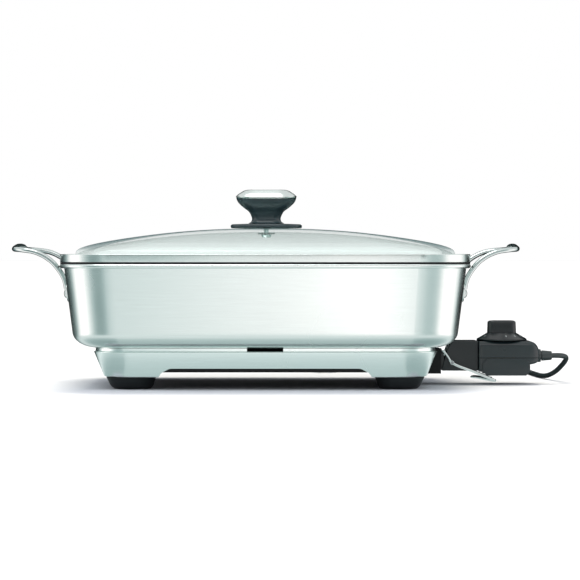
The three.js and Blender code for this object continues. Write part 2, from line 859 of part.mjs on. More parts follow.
function foot(sx, sy) {
  const half = footLength / 2;
  const trim = sy > 0 ? footRearTrim / 2 : 0;
  const ease = sy > 0 ? footRearEase / 2 : 0;
  const section = (size) => {
    const halfX = size - trim - ease;
    return { halfX, halfY: size, corner: Math.min(size * footCornerShare, halfX * footRearCornerShare) };
  };
  const tapered = (share, z) => {
    const outer = footTaper * share;
    const inner = footInnerTaper * share;
    const now = half - (outer + inner) / 2;
    const shift = (outer - inner) / 2;
    return ring(section(now), z).map((p) => {
      return p.add(new THREE.Vector3(sx * (trim - ease - shift), -sy * shift, 0));
    });
  };
  const inside = half - footNeckInset;
  const neckAt = (z) => {
    return ring(section(inside), z).map((p) => p.add(new THREE.Vector3(sx * (trim - ease), 0, 0)));
  };
  const body = join(
    loft(footRiseShares.map((share, i) => tapered(footTaperShares[i], footHeight * share))),
    loft([neckAt(footHeight - fit), neckAt(trayBottom - fit)]),
  );
  const bore = rodAlongZ(screwRadius + fit, -overrun, trayBottom + overrun);
  const sink = rodAlongZ(screwHead + fit, -overrun, screwSunk + screwHeadHeight + fit);
  return moved(cut(body, bore, sink), sx * footCentreX, sy * footCentreY, 0);
}

function footScrew(sx, sy) {
  const headTop = screwSunk + screwHeadHeight;
  const profile = [
    [0, screwSunk],
    [screwHead * headShoulderShare, screwSunk],
    [screwHead, headTop - fit],
    [screwHead, headTop],
    [screwRadius, headTop],
    [screwRadius, trayFloor + screwBossHeight - fit],
    [0, trayFloor + screwBossHeight],
  ];
  return moved(turned(profile, coarseSides), sx * footCentreX, sy * footCentreY, 0);
}

function trayBolt(y) {
  const headTop = trayBottom - fit;
  const profile = [
    [0, headTop - trayBoltHeadHeight],
    [trayBoltHead * headShoulderShare, headTop - trayBoltHeadHeight],
    [trayBoltHead, headTop - fit],
    [trayBoltHead, headTop],
    [trayBoltRadius, headTop],
    [trayBoltRadius, panLift - fit - spreaderThick],
    [0, panLift - fit - spreaderThick],
  ];
  return moved(turned(profile, coarseSides), 0, y, 0);
}

// Heater
const spreaderLow = panLift - fit - spreaderThick;

function heatSpreader() {
  const outline = { halfX: spreaderHalfLength, halfY: spreaderHalfWidth, corner: spreaderCorner };
  const plate = loft([ring(outline, spreaderLow), ring(outline, panLift - fit)]);
  const saddleEnd = elementHalfLength - elementRadius - fit;
  const saddle = block(
    sleeveStart,
    saddleEnd,
    -sleeveBlockHalf,
    sleeveBlockHalf,
    probeAxisHeight + sleeveRadius + fit,
    spreaderLow + fit,
  );
  const boss = rodAlongZ(trayBossRadius, trayFloor + fit, spreaderLow + fit);
  const bore = rodAlongZ(trayBoltRadius + fit, 0, spreaderLow + fit);
  const bosses = trayBolts().map((y) => moved(boss.clone(), 0, y, 0));
  const bores = trayBolts().map((y) => moved(bore.clone(), 0, y, 0));
  return cut(join(plate, saddle, ...bosses), ...bores);
}

function heatingElement() {
  const z = spreaderLow - 2 * fit - elementRadius;
  const halfX = elementHalfLength;
  const halfY = elementHalfWidth;
  const r = elementCorner;
  const turn = r * (1 - Math.SQRT1_2);
  const mid = (halfX + elementColdEnd) / 2;
  const start = pinSpread + 3 * elementRadius;
  const half = [
    [elementColdEnd, pinSpread, pinHeight],
    [elementColdEnd - 2 * elementRadius, pinSpread, pinHeight],
    [mid, pinSpread + elementRadius, (pinHeight + z) / 2],
    [halfX + elementRadius, start, z],
    [halfX, (start + halfY - r) / 2, z],
    [halfX, halfY - r, z],
    [halfX - turn, halfY - turn, z],
    [halfX - r, halfY, z],
    [0, halfY, z],
    [r - halfX, halfY, z],
    [turn - halfX, halfY - turn, z],
    [-halfX, halfY - r, z],
    [-halfX, 0, z],
  ];
  const back = half.slice(0, -1).map(([x, y, h]) => [x, -y, h]).reverse();
  const points = [...half, ...back].map(([x, y, h]) => new THREE.Vector3(x, y, h));
  return tube(new THREE.CatmullRomCurve3(points, false, "centripetal"), elementRadius, wireSides, wireSteps);
}

function terminalPin(side) {
  const pin = rodAlongX(pinRadius, elementColdEnd + fit, shroudMouth - pinReach);
  return moved(pin, 0, side * pinSpread, pinHeight);
}

function probeSleeve() {
  const sleeve = tubeAlongX(sleeveRadius, rodSensorRadius + fit, sleeveStart, shroudBack + shroudWall - fit);
  return moved(sleeve, 0, 0, probeAxisHeight);
}

function terminalShroud() {
  const half = shroudHalfWidth;
  const inside = half - shroudWall;
  const body = block(shroudBack, shroudMouth, -half, half, shroudLow, shroudHigh);
  const room = block(
    shroudBack + shroudWall,
    shroudMouth + overrun,
    -inside,
    inside,
    shroudLow + shroudWall,
    shroudHigh - shroudWall,
  );
  const through = [shroudBack - overrun, shroudMouth];
  const hole = rodAlongX(pinRadius + fit, ...through);
  const holes = [-1, 1].map((side) => moved(hole.clone(), 0, side * pinSpread, pinHeight));
  return cut(body, room, ...holes, moved(rodAlongX(sleeveRadius + fit, ...through), 0, 0, probeAxisHeight));
}

// Probe
function probeNeck() {
  const front = shroudMouth + fit;
  const top = probeTop + fit;
  const body = slabAcross(polygon([
    [front, neckLow],
    [neckBack, neckLow],
    [neckBack, top],
    [front + neckTopShoulder + neckChamfer, top],
    [front + neckTopShoulder, top - neckTopShoulder],
  ]), neckHalfWidth);
  const noseTip = shroudBack + 2 * shroudWall;
  const noseBlock = block(noseTip, front + neckWall, -nose.halfY, nose.halfY, nose.low, nose.high);
  const inside = neckHalfWidth - neckWall;
  const room = block(
    leverPivotPlace + leverEyeRadius + neckWall,
    neckBack + overrun,
    -inside,
    inside,
    neckLow + neckWall,
    top - neckWall,
  );
  const run = [shroudBack, neckBack];
  const sockets = [-1, 1].map((side) => {
    return moved(rodAlongX(receptacleRadius + fit, ...run), 0, side * pinSpread, pinHeight);
  });
  const rodHole = moved(rodAlongX(rodSensorRadius + fit, ...run), 0, 0, probeAxisHeight);
  const pivot = rodAlongY(leverPinRadius + fit, neckHalfWidth - neckWall / 2, neckHalfWidth + overrun);
  const pivots = [moved(pivot, leverPivotPlace, 0, leverPivotHeight)];
  pivots.push(pivots[0].clone().rotateZ(Math.PI).translate(2 * leverPivotPlace, 0, 0));
  return cut(join(body, noseBlock), room, ...sockets, rodHole, ...pivots);
}

function sensorRod() {
  const rod = rodAlongX(rodSensorRadius, sleeveStart + sensorTipInset, neckBack + 2 * probeWall);
  return moved(rod, 0, 0, probeAxisHeight);
}

function receptacle(side) {
  const start = shroudMouth - receptacleFrontReach;
  const socket = tubeAlongX(receptacleRadius, pinRadius + fit, start, shroudMouth + receptacleBackReach);
  return moved(socket, 0, side * pinSpread, pinHeight);
}

function upperOutline(inset) {
  const r = probeBackTopRadius;
  const shape = new THREE.Shape();
  const start = neckBack + fit + inset;
  shape.moveTo(start, inset ? probeSplit - overrun : probeSplit + fit / 2);
  shape.lineTo(probeBack - inset, inset ? probeSplit - overrun : probeSplit + fit / 2);
  shape.lineTo(probeBack - inset, probeTop - r);
  shape.absarc(probeBack - r, probeTop - r, r - inset, 0, Math.PI / 2, false);
  shape.lineTo(start, probeTop - inset);
  return shape;
}

function exitHole() {
  const inside = probeBack - probeWall;
  const hole = rodAlongX(reliefNeck + fit, inside - probeWall, probeBack + overrun);
  const flangeRoom = rodAlongX(reliefFlange + fit, inside - reliefInside - fit, inside);
  return moved(join(hole, flangeRoom), 0, 0, probeAxisHeight);
}

function entryHole() {
  return moved(rodAlongX(rodSensorRadius + fit, neckBack, neckBack + 2 * probeWall), 0, 0, probeAxisHeight);
}

function housingScrewSpots() {
  return [-1, 1].map((side) => [housingScrewPlace, side * housingScrewSpread]);
}

function probeUpperHousing() {
  const shell = cut(
    slabAcross(upperOutline(0), probeHalfWidth, probeEdge),
    slabAcross(upperOutline(probeWall), probeHalfWidth - probeWall),
  );
  const bosses = housingScrewSpots().map(([x, y]) => {
    return moved(rodAlongZ(screwHead, probeSplit + fit / 2, probeTop - probeWall / 2), x, y, 0);
  });
  const bores = housingScrewSpots().map(([x, y]) => {
    return moved(rodAlongZ(screwRadius + fit, probeSplit - overrun, probeTop - 2 * probeWall), x, y, 0);
  });
  const spindleHole = moved(rodAlongZ(spindleRadius + fit, probeSplit, probeTop + overrun), dialPlace, 0, 0);
  return cut(join(shell, ...bosses), ...bores, spindleHole, exitHole(), entryHole());
}

function lowerOutline(inset) {
  const top = inset ? probeSplit + overrun : probeSplit - fit / 2;
  return polygon([
    [neckBack + fit + inset, probeLow + inset],
    ...probeUnderRuns.map((run, i) => {
      return [probeBack - Math.max(run + inset / 2, inset), probeLow + probeUnderRises[i] + inset];
    }),
    [probeBack - inset, top],
    [neckBack + fit + inset, top],
  ]);
}

function cheek(side) {
  const r = cheekCorner;
  const start = neckBack + cheekFrontInset;
  const end = probeBack - cheekBackInset;
  const shape = new THREE.Shape();
  shape.moveTo(start, cheekLow + r / 2);
  shape.lineTo(start + r / 2, cheekLow);
  shape.lineTo(end - r / 2, cheekLow);
  shape.lineTo(end, cheekLow + r / 2);
  shape.absarc(end - r, cheekHigh - r, r, 0, Math.PI / 2, false);
  shape.absarc(start + r, cheekHigh - r, r, Math.PI / 2, Math.PI, false);
  const plate = slabAcross(shape, cheekThick / 2);
  return moved(plate, 0, side * (probeHalfWidth + cheekProud - cheekThick / 2), 0);
}

function probeLowerHousing() {
  const shell = cut(
    slabAcross(lowerOutline(0), probeHalfWidth),
    slabAcross(lowerOutline(probeWall), probeHalfWidth - probeWall),
  );
  const posts = housingScrewSpots().map(([x, y]) => {
    return moved(rodAlongZ(screwHead + probeWall, probeLow, probeSplit - fit / 2), x, y, 0);
  });
  const bores = housingScrewSpots().map(([x, y]) => {
    return moved(rodAlongZ(screwRadius + fit, probeLow - overrun, probeSplit + overrun), x, y, 0);
  });
  const sinks = housingScrewSpots().map(([x, y]) => {
    return moved(rodAlongZ(screwHead + fit, probeLow - overrun, probeLow + screwSunk + fit), x, y, 0);
  });
  return cut(join(shell, cheek(1), cheek(-1), ...posts), ...bores, ...sinks, exitHole(), entryHole());
}

function housingScrew(x, y) {
  const headTop = probeLow + screwSunk;
  const tip = probeTop - 2 * probeWall - fit;
  const profile = [
    [0, headTop - screwHeadHeight],
    [screwHead * headShoulderShare, headTop - screwHeadHeight],
    [screwHead, headTop],
    [screwRadius, headTop],
    [screwRadius, tip],
    [0, tip],
  ];
  return moved(turned(profile, coarseSides), x, y, 0);
}

const blockStart = neckBack + 2 * probeWall + fit;
const blockLow = probeLow + probeWall + fit;

function thermostatBlock() {
  const end = blockStart + blockLength;
  const body = block(blockStart, end, -blockHalfWidth, blockHalfWidth, blockLow, blockLow + blockHeight);
  const stud = block(
    blockStart,
    blockStart + bladeFoot,
    -bladeHalfWidth,
    bladeHalfWidth,
    blockLow + blockHeight - fit,
    probeAxisHeight + rodSensorRadius + bladeLift,
  );
  return join(body, stud);
}

function contactBlade() {
  const start = blockStart + bladeFoot + fit;
  const low = blockLow + blockHeight + fit;
  const top = low + bladeLift;
  const arm = block(start, start + bladeLength, -bladeHalfWidth, bladeHalfWidth, top - bladeThick, top);
  const footing = block(start, start + bladeFoot, -bladeHalfWidth, bladeHalfWidth, low, top - bladeThick / 2);
  return join(arm, footing);
}

// Dial and its spindle
const dialLow = probeTop + fit;

function temperatureDial() {
  const coneTop = dialLow + dialConeHeight;
  const cone = turned([
    [0, dialLow],
    [dialRadius - dialRimHeight / 2, dialLow],
    [dialRadius, dialLow + dialRimHeight / 2],
    [dialRadius, dialLow + dialRimHeight],
    [dialConeTop, coneTop],
    [0, coneTop],
  ], dialSides);
  const halfX = dialGripLength / 2;
  const halfY = dialGripWidth / 2;
  const gripTop = coneTop + dialGripHeight;
  const section = (inset, z) => {
    return ring({ halfX: halfX - inset, halfY: halfY - inset, corner: dialGripCorner }, z);
  };
  const grip = loft([
    section(0, coneTop - dialConeHeight / 2),
    section(dialGripTaper / 2, gripTop - 2 * dialCrown),
    section(dialGripTaper, gripTop - dialCrown),
    section(3 * dialGripTaper, gripTop),
  ]);
  const bore = rodAlongZ(spindleRadius + fit, dialLow - overrun, dialLow + spindleGrip);
  return moved(cut(join(cone, grip), bore), dialPlace, 0, 0);
}

function dialSpindle() {
  const low = blockLow + blockHeight + 2 * fit + bladeLift;
  return moved(rodAlongZ(spindleRadius, low, dialLow + spindleGrip - fit), dialPlace, 0, 0);
}

// Release lever, its pin and its spring
function releaseLever() {
  const [startShare, endShare] = leverCurlShares;
  const curl = [
    [leverEndReach - wireRadius, leverSpread, -leverEndDrop + wireRadius / 2],
    [leverEndReach, leverSpread - 2 * wireRadius, -leverEndDrop],
    [
      leverEndReach - leverCurlBack * startShare,
      leverSpread - 7 * wireRadius,
      -leverEndDrop + wireRadius / 2,
    ],
    [leverEndReach - leverCurlBack * endShare, leverSpread / 3, -leverEndDrop + 2 * wireRadius],
  ];
  const half = [
    [-leverTipBack, leverSpread, leverTipRise],
    [-leverTipBack / 2, leverSpread, leverTipRise / 2],
    [0, leverSpread, 0],
    [leverEndReach / 2, leverSpread, -leverEndDrop / 2],
    ...curl,
  ];
  const crown = [leverEndReach - leverCurlBack, 0, -leverEndDrop + wireRadius * 2];
  const mirrored = half.map(([x, y, z]) => [x, -y, z]).reverse();
  const points = [...half, crown, ...mirrored].map((p) => new THREE.Vector3(...p));
  const curve = new THREE.CatmullRomCurve3(points, false, "centripetal");
  const wire = tube(curve, wireRadius, wireSides, wireSteps);
  const eye = rodAlongY(leverEyeRadius, wireGap, leverSpread + wireRadius);
  const eyes = [eye, eye.clone().rotateZ(Math.PI)];
  const bores = [rodAlongY(leverPinRadius + fit, -2 * leverSpread, 2 * leverSpread)];
  return moved(cut(join(wire, ...eyes), ...bores), leverPivotPlace, 0, leverPivotHeight);
}

function leverPin(side) {
  const inner = neckHalfWidth - neckWall / 2 + fit;
  const outer = leverSpread + wireRadius;
  const shank = rodAlongY(leverPinRadius, inner, outer + fit);
  const washer = rodAlongY(leverEyeRadius, neckHalfWidth + fit, wireGap - fit);
  const head = rodAlongY(leverEyeRadius * headShoulderShare, outer + fit, outer + fit + wireRadius);
  const pin = join(shank, washer, head);
  if (side < 0) pin.rotateZ(Math.PI);
  return moved(pin, leverPivotPlace, 0, leverPivotHeight);
}

// A tube through a list of centres, with turns that may lie on each other.
function windingTube(centres, radius, sides) {
  const rings = centres.map((centre, i) => {
    const before = centres[Math.max(i - 1, 0)];
    const after = centres[Math.min(i + 1, centres.length - 1)];
    const along = after.clone().sub(before).normalize();
    const across = new THREE.Vector3(0, 0, 1).cross(along).normalize();
    const upward = along.clone().cross(across);
    return Array.from({ length: sides }, (_, k) => {
      const angle = (k / sides) * 2 * Math.PI;
      const out = across.clone().multiplyScalar(radius * Math.cos(angle));
      return centre.clone().add(out).add(upward.clone().multiplyScalar(radius * Math.sin(angle)));
    });
  });
  return loft(rings);
}

// Least distance between the surfaces of turns that aren't next to each other along the tube.
function leastGap(centres, radius, apart) {
  let least = Infinity;
  centres.forEach((a, i) => {
    for (let j = i + apart; j < centres.length; j++) least = Math.min(least, a.distanceTo(centres[j]));
  });
  return least - 2 * radius;
}

function releaseSpring() {
  const steps = springSteps * springTurns;
  const centres = [];
  for (let i = 0; i <= steps; i++) {
    const turn = i / springSteps;
    const x = springRadius * Math.cos(turn * 2 * Math.PI);
    const y = springRadius * Math.sin(turn * 2 * Math.PI);
    centres.push(new THREE.Vector3(x, y, turn * springPitch));
  }
  const least = leastGap(centres, springWire, springSteps / 2);
  console.log("spring, least gap between turns", least.toFixed(2), "mm");
  const coil = windingTube(centres, springWire, springSides);
  const x = leverPivotPlace + leverEyeRadius + neckWall + springRadius + springWire + fit;
  return moved(coil, x, 0, neckLow + neckWall + springWire + fit);
}

// Cord, its strain relief, coil, tie and plug
function strainRelief() {
  const profile = [
    [0, -probeWall - reliefInside],
    [reliefTip, -probeWall - reliefInside],
    [reliefFlange, -probeWall - reliefInside / 2],
    [reliefFlange, -probeWall - fit],
    [reliefNeck, -probeWall - fit],
    [reliefNeck, fit],
    [reliefRing, fit],
    [reliefRing, reliefRingLength],
    [reliefNeck, reliefRingLength],
    [reliefNeck, reliefRingLength + reliefGroove],
    [reliefSleeve, reliefRingLength + reliefGroove],
    [reliefSleeveTip, reliefLength],
    [0, reliefLength],
  ];
  return moved(turned(profile).rotateY(Math.PI / 2), 0, 0, probeAxisHeight);
}

const runPoints = [
  [15.9, 0, 30.5],
  [20.5, 0, 30.6],
  [26, 1.6, 30.3],
  [30.6, 6.4, 29.2],
  [32.9, 14.6, 26.9],
  [32.9, 26, 23.1],
  [31, 39, 18.2],
  [28.4, 52.5, 13.2],
  [25.4, 66.5, 8.9],
  [22.4, 81, 5.8],
  [19.6, 97, 3.8],
  [17, 114, 3],
  [15, 134, 2.95],
  [13.6, 158, 2.95],
  [12.4, 184, 2.95],
  [10.8, 210, 2.95],
  [7.6, 236, 2.95],
  [1.6, 262, 2.95],
  [-8, 287, 2.95],
  [-21, 308.6, 2.95],
  [-37.5, 326, 3],
  [-57.5, 338.6, 3.2],
  [-80, 346.4, 3.5],
  [-105, 349, 3.8],
  [-135, 349, 3.95],
  [-166.2, 349, 3.95],
];
const tailPoints = [
  [-177.8, 349, 10.05],
  [-186, 349, 9.5],
  [-195, 347.4, 8],
  [-204, 343.4, 6],
  [-212, 337.2, 3.6],
  [-218.4, 329, 3.1],
  [-222.8, 319.4, 4.2],
  [-224.6, 311, 6.6],
  [-225.2, 305, 8.5],
  [-225.4, 300.6, 9.3],
];

function cordCurve(points) {
  return new THREE.CatmullRomCurve3(points.map((p) => new THREE.Vector3(...p)), false, "centripetal");
}

// Turns spiral in on the lower layer, climb in the half turn where they reverse, and spiral out above.
function coilCentres() {
  const centres = [];
  const steps = coilTurns * coilSteps;
  const lead = cordDiameter;
  centres.push(new THREE.Vector3(coilCentreX + lead, coilCentreY + coilOuter, coilLow));
  for (let i = 0; i <= steps; i++) {
    const turn = i / coilSteps;
    const angle = Math.PI / 2 + turn * 2 * Math.PI;
    const radius = coilOuter - cordPitch * Math.min(turn, coilTurns - turn);
    const climb = THREE.MathUtils.smoothstep(turn, coilTurns / 2 - 1 / 4, coilTurns / 2 + 1 / 4);
    const x = coilCentreX + radius * Math.cos(angle);
    const y = coilCentreY + radius * Math.sin(angle);
    centres.push(new THREE.Vector3(x, y, coilLow + cordPitch * climb));
  }
  centres.push(new THREE.Vector3(coilCentreX - lead, coilCentreY + coilOuter, coilLow + cordPitch));
  return centres;
}

function cordCoil() {
  const centres = coilCentres();
  const least = leastGap(centres, cordRadius, coilSteps / 2);
  console.log("cord coil, least gap between turns", least.toFixed(2), "mm");
  return windingTube(centres, cordRadius, coilSides);
}

function cordTie() {
  const reach = cordPitch / 2 + cordRadius + 2 * fit;
  const middle = coilCentreX + coilOuter - cordPitch * tieTurnShare;
  const low = coilLow - cordRadius - fit;
  const high = coilLow + cordPitch + cordRadius + fit;
  const half = tieWidth / 2;
  const outer = block(
    middle - reach - tieThick,
    middle + reach + tieThick,
    coilCentreY - half,
    coilCentreY + half,
    low - tieThick,
    high + tieThick,
  );
  const inner = block(
    middle - reach,
    middle + reach,
    coilCentreY - half - overrun,
    coilCentreY + half + overrun,
    low,
    high,
  );
  return cut(outer, inner);
}

const plugHeight = plugHalfHeight + fit;

function plugBody() {
  const section = (halfX, halfY, corner, z) => ring({ halfX, halfY, corner }, z);
  const end = plugReliefLength + plugLength;
  const body = loft([
    section(reliefTip, reliefTip, reliefTip * plugCornerShare, 0),
    section(reliefNeck, reliefNeck, reliefNeck * plugCornerShare, plugReliefLength),
    section(
      plugHalfWidth * plugShoulderShare,
      plugHalfHeight * plugShoulderShare,
      plugCorner,
      plugReliefLength + plugCorner,
    ),
    section(plugHalfWidth, plugHalfHeight, plugCorner, plugReliefLength + 2 * plugCorner),
    section(plugHalfWidth, plugHalfHeight, plugCorner, end),
  ]);
  const slots = [-1, 1].map((side) => {
    const half = bladePinThick / 2 + fit;
    const x = side * bladePinSpread;
    const wide = bladePinWidth / 2 + fit;
    return block(x - half, x + half, -wide, wide, end - bladePinLength / 2, end + overrun);
  });
  return moved(cut(body, ...slots).rotateX(Math.PI / 2), plugPlaceX, plugPlaceY, plugHeight);
}

function plugPin(side) {
  const face = plugPlaceY - plugReliefLength - plugLength;
  const half = bladePinThick / 2;
  const x = plugPlaceX + side * bladePinSpread;
  const wide = bladePinWidth / 2;
  const back = face + bladePinLength / 2 - fit;
  return block(x - half, x + half, face - bladePinLength, back, plugHeight - wide, plugHeight + wide);
}

// Assembly
const pan = new THREE.Group();
pan.add(
  piece("pan_shell", panShell(), steel),
  piece("left_handle", handle(-1), polished),
  piece("right_handle", handle(1), polished),
);
for (const [name, side] of [["left", -1], ["right", 1]]) {
  pan.add(piece(`${name}_handle_front_rivet`, rivet(side, -1), polished));
  pan.add(piece(`${name}_handle_rear_rivet`, rivet(side, 1), polished));
}

const heater = new THREE.Group();
heater.add(
  piece("heat_spreader", heatSpreader(), aluminium),
  piece("heating_element", heatingElement(), darkSteel),
  piece("front_terminal_pin", terminalPin(-1), brass),
  piece("rear_terminal_pin", terminalPin(1), brass),
  piece("probe_sleeve", probeSleeve(), aluminium),
  piece("terminal_shroud", terminalShroud(), blackPlastic),
);

const base = new THREE.Group();
base.add(piece("base_skirt", baseSkirt(), steel), piece("base_tray", baseTray(), blackPlastic));
for (const [name, sx, sy] of footSpots) {
  base.add(piece(`${name}_foot`, foot(sx, sy), rubber));
  base.add(piece(`${name}_foot_screw`, footScrew(sx, sy), darkSteel));
}
trayBolts().forEach((y) => {
  base.add(piece(y < 0 ? "front_tray_bolt" : "rear_tray_bolt", trayBolt(y), darkSteel));
});

const lid = new THREE.Group();
lid.add(
  piece("lid_glass", lidGlass(), glass),
  piece("lid_rim", lidRim(), steel),
  piece("lid_gasket", lidGasket(), silicone),
  piece("knob_base", knobBase(), knobPlastic),
  piece("knob_body", knobBody(), knobPlastic),
  piece("knob_cap", knobCap(), polished),
  piece("knob_screw", knobScrew(), steel),
  piece("knob_washer", knobWasher(), silicone),
);

const dial = new THREE.Group();
dial.add(
  piece("temperature_dial", temperatureDial(), plastic),
  piece("dial_spindle", dialSpindle(), darkSteel),
);

const cord = new THREE.Group();
cord.position.x = probeBack;
cord.add(
  piece("strain_relief", strainRelief(), cordRubber),
  piece("cord_run", tube(cordCurve(runPoints), cordRadius, cordSides, runSteps), cordRubber),
  piece("cord_coil", cordCoil(), cordRubber),
  piece("cord_tail", tube(cordCurve(tailPoints), cordRadius, cordSides, tailSteps), cordRubber),
  piece("cord_tie", cordTie(), blackPlastic),
  piece("plug_body", plugBody(), blackPlastic),
  piece("plug_left_pin", plugPin(-1), brass),
  piece("plug_right_pin", plugPin(1), brass),
);

const probe = new THREE.Group();
probe.add(
  piece("probe_neck", probeNeck(), plastic),
  piece("probe_upper_housing", probeUpperHousing(), plastic),
  piece("probe_lower_housing", probeLowerHousing(), plastic),
  piece("sensor_rod", sensorRod(), polished),
  piece("front_receptacle", receptacle(-1), brass),
  piece("rear_receptacle", receptacle(1), brass),
  piece("thermostat_block", thermostatBlock(), ceramic),
  piece("contact_blade", contactBlade(), brass),
  piece("release_lever", releaseLever(), polished),
  piece("front_lever_pin", leverPin(-1), darkSteel),
  piece("rear_lever_pin", leverPin(1), darkSteel),
  piece("release_spring", releaseSpring(), steel),
  dial,
  cord,
);
housingScrewSpots().forEach(([x, y]) => {
  probe.add(piece(y < 0 ? "front_housing_screw" : "rear_housing_screw", housingScrew(x, y), darkSteel));
});

// The handles and the probe reach out unequally, and the origin is under the middle of the two.
const skillet = new THREE.Group();
skillet.add(pan, heater, base, lid, probe);
skillet.position.x = -(probeBack - panLength / 2 - handleReach) / 2;

export default skillet;
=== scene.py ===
import math

import bmesh
import bpy
from mathutils import Matrix, Vector


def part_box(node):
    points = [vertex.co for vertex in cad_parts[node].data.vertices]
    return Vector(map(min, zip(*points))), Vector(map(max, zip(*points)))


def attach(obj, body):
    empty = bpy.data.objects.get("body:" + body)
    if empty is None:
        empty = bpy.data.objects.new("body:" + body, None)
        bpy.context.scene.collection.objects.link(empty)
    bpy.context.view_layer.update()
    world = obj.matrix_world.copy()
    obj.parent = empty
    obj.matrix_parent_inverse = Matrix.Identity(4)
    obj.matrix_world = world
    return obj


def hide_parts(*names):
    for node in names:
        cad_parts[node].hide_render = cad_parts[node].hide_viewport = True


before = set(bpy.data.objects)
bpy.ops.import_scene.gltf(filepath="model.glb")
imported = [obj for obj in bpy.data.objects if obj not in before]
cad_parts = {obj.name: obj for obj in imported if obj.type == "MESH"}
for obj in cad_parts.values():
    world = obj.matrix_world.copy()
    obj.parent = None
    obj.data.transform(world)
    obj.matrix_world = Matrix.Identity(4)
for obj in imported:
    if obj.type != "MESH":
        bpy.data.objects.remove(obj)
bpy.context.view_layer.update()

# Places read from the frame, in metres. Pieces are drawn about the pan's middle, which is at PAN_X.
pan_low, pan_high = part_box("pan_shell")
PAN_X = (pan_low.x + pan_high.x) / 2
RIM_PROUD = 0.0045
PAN_HALF_X = (pan_high.x - pan_low.x) / 2 - RIM_PROUD
PAN_HALF_Y = pan_high.y - RIM_PROUD
PAN_LIFT = pan_low.z
RIM_TOP = pan_high.z
PROBE_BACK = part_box("probe_upper_housing")[1].x - PAN_X
NECK_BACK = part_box("probe_neck")[1].x - PAN_X
PROBE_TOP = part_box("probe_upper_housing")[1].z
AXIS_Z = sum(corner.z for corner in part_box("sensor_rod")) / 2
BAND_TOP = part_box("lid_rim")[1].z
KNOB_BASE_LOW, KNOB_BASE_HIGH = (corner.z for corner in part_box("knob_base"))
DIAL_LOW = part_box("temperature_dial")[0].z

FIT = 0.0003
NEAR_AXIS = 1e-5
QUARTER = math.pi / 2

# Camera
VIEW_X = 0.0132
VIEW_DISTANCE = 2.5
VIEW_HEIGHT = 0.1356
VIEW_PITCH = math.radians(0.79)
VIEW_LENS = 144

# Pan
PAN_CORNER = 0.0515
PAN_WALL = 0.0018
PAN_FLOOR = 0.003
WALL_DRAFT = 0.008
BOTTOM_ACROSS = 0.0245
BOTTOM_UP = 0.017
CORNER_KEEP_SHARE = 0.5
RIM_RADIUS = 0.0025
RIM_LEAN = 0.0004
RIM_LEAN_DROP = 0.003
RIM_RISE = 0.005
PAN_TOP = RIM_TOP - RIM_RADIUS - RIM_RISE / 2
PAN_DEPTH = PAN_TOP - PAN_LIFT

# Lid
BAND_PROUD = 0.004
BAND_HEIGHT = 0.0083
BAND_SHEET = 0.001
BAND_STEP = 0.0015
BAND_EDGE = 0.0009
LIP_REACH = 0.0062
LIP_GAP = 0.0001
LIP_DROP = 0.00045
FLANGE_INSET = 0.0072
FLANGE_DROP = 0.007
GLASS_THICK = 0.004
GASKET_THICK = 0.0016
DOME_RISE = 0.0262
DOME_START = 0.0017
DOME_INSET = 0.0155
DOME_POWER_SHARE = 0.46
DOME_SQUARE_POWER = 6
GLASS_EDGE_INSET = 0.0015
BAND_LOW = BAND_TOP - BAND_HEIGHT
SEAT_LOW = RIM_TOP + FIT

# Knob
KNOB_BASE_LENGTH = 0.0768
KNOB_BASE_WIDTH = 0.046
KNOB_BASE_EDGE = 0.0043
KNOB_NECK_LENGTH = 0.0308
KNOB_NECK_WIDTH = 0.021
KNOB_HEAD_LENGTH = 0.065
KNOB_HEAD_WIDTH = 0.040
KNOB_BODY_HEIGHT = 0.0273
KNOB_CAP_HEIGHT = 0.0101
KNOB_CAP_SADDLE = 0.0016
CAP_START_INSET = 0.012
KNOB_NOTCH_WIDTH = 0.0085
KNOB_NOTCH_HEIGHT = 0.0011
KNOB_SCREW_RADIUS = 0.0024
KNOB_HEIGHT_SHARES = (0, 0.08, 0.19, 0.33, 0.48, 0.6, 0.72, 0.87, 1)
KNOB_FLARE_SHARES = (0.22, 0.05, 0, 0.06, 0.19, 0.43, 0.67, 0.9, 0.99)
KNOB_CORNER_SHARE = 0.8
CAP_RISE_SHARES = (0, 0.1, 0.27, 0.5, 0.75, 0.92, 1)
CAP_FLARE_SHARES = (0.99, 1.01, 0.96, 0.85, 0.65, 0.49, 0.3)
CAP_SADDLE_SHARES = (1, 1, 0.55, 0.25, 0.08, 0, 0)

# Handles
ROD_RADIUS = 0.0027
HANDLE_SPREAD = 0.078
HANDLE_REACH = 0.0599
HANDLE_TOP = PAN_TOP + 0.0187
HANDLE_BOW = 0.0048
HANDLE_CORNER = 0.021
PAD_FOOT = PAN_TOP - 0.035
PAD_HEIGHT = 0.020
PAD_WIDTH = 0.015
PAD_THICK = 0.003
PAD_EDGE = 0.0008
PAD_BACK_EDGE = 0.0006
RIVET_RISE = 0.0087
RIVET_SHANK = 0.0024
RIVET_HEAD = 0.0056
RIVET_HEAD_HEIGHT = 0.0028
LEG_FOOT_SHARE = 0.65
LEG_REACH_SHARES = (0, 0.02, 0.06, 0.15, 0.27, 0.41, 0.6, 0.79)
LEG_RISE_SHARES = (0, 0.165, 0.32, 0.52, 0.71, 0.853, 0.965, 1)
GRIP_TURN_SHARES = (0.35, 0.7, 1)
GRIP_CORNER_BOW_SHARE = 0.35
GRIP_QUARTER_BOW_SHARE = 0.88

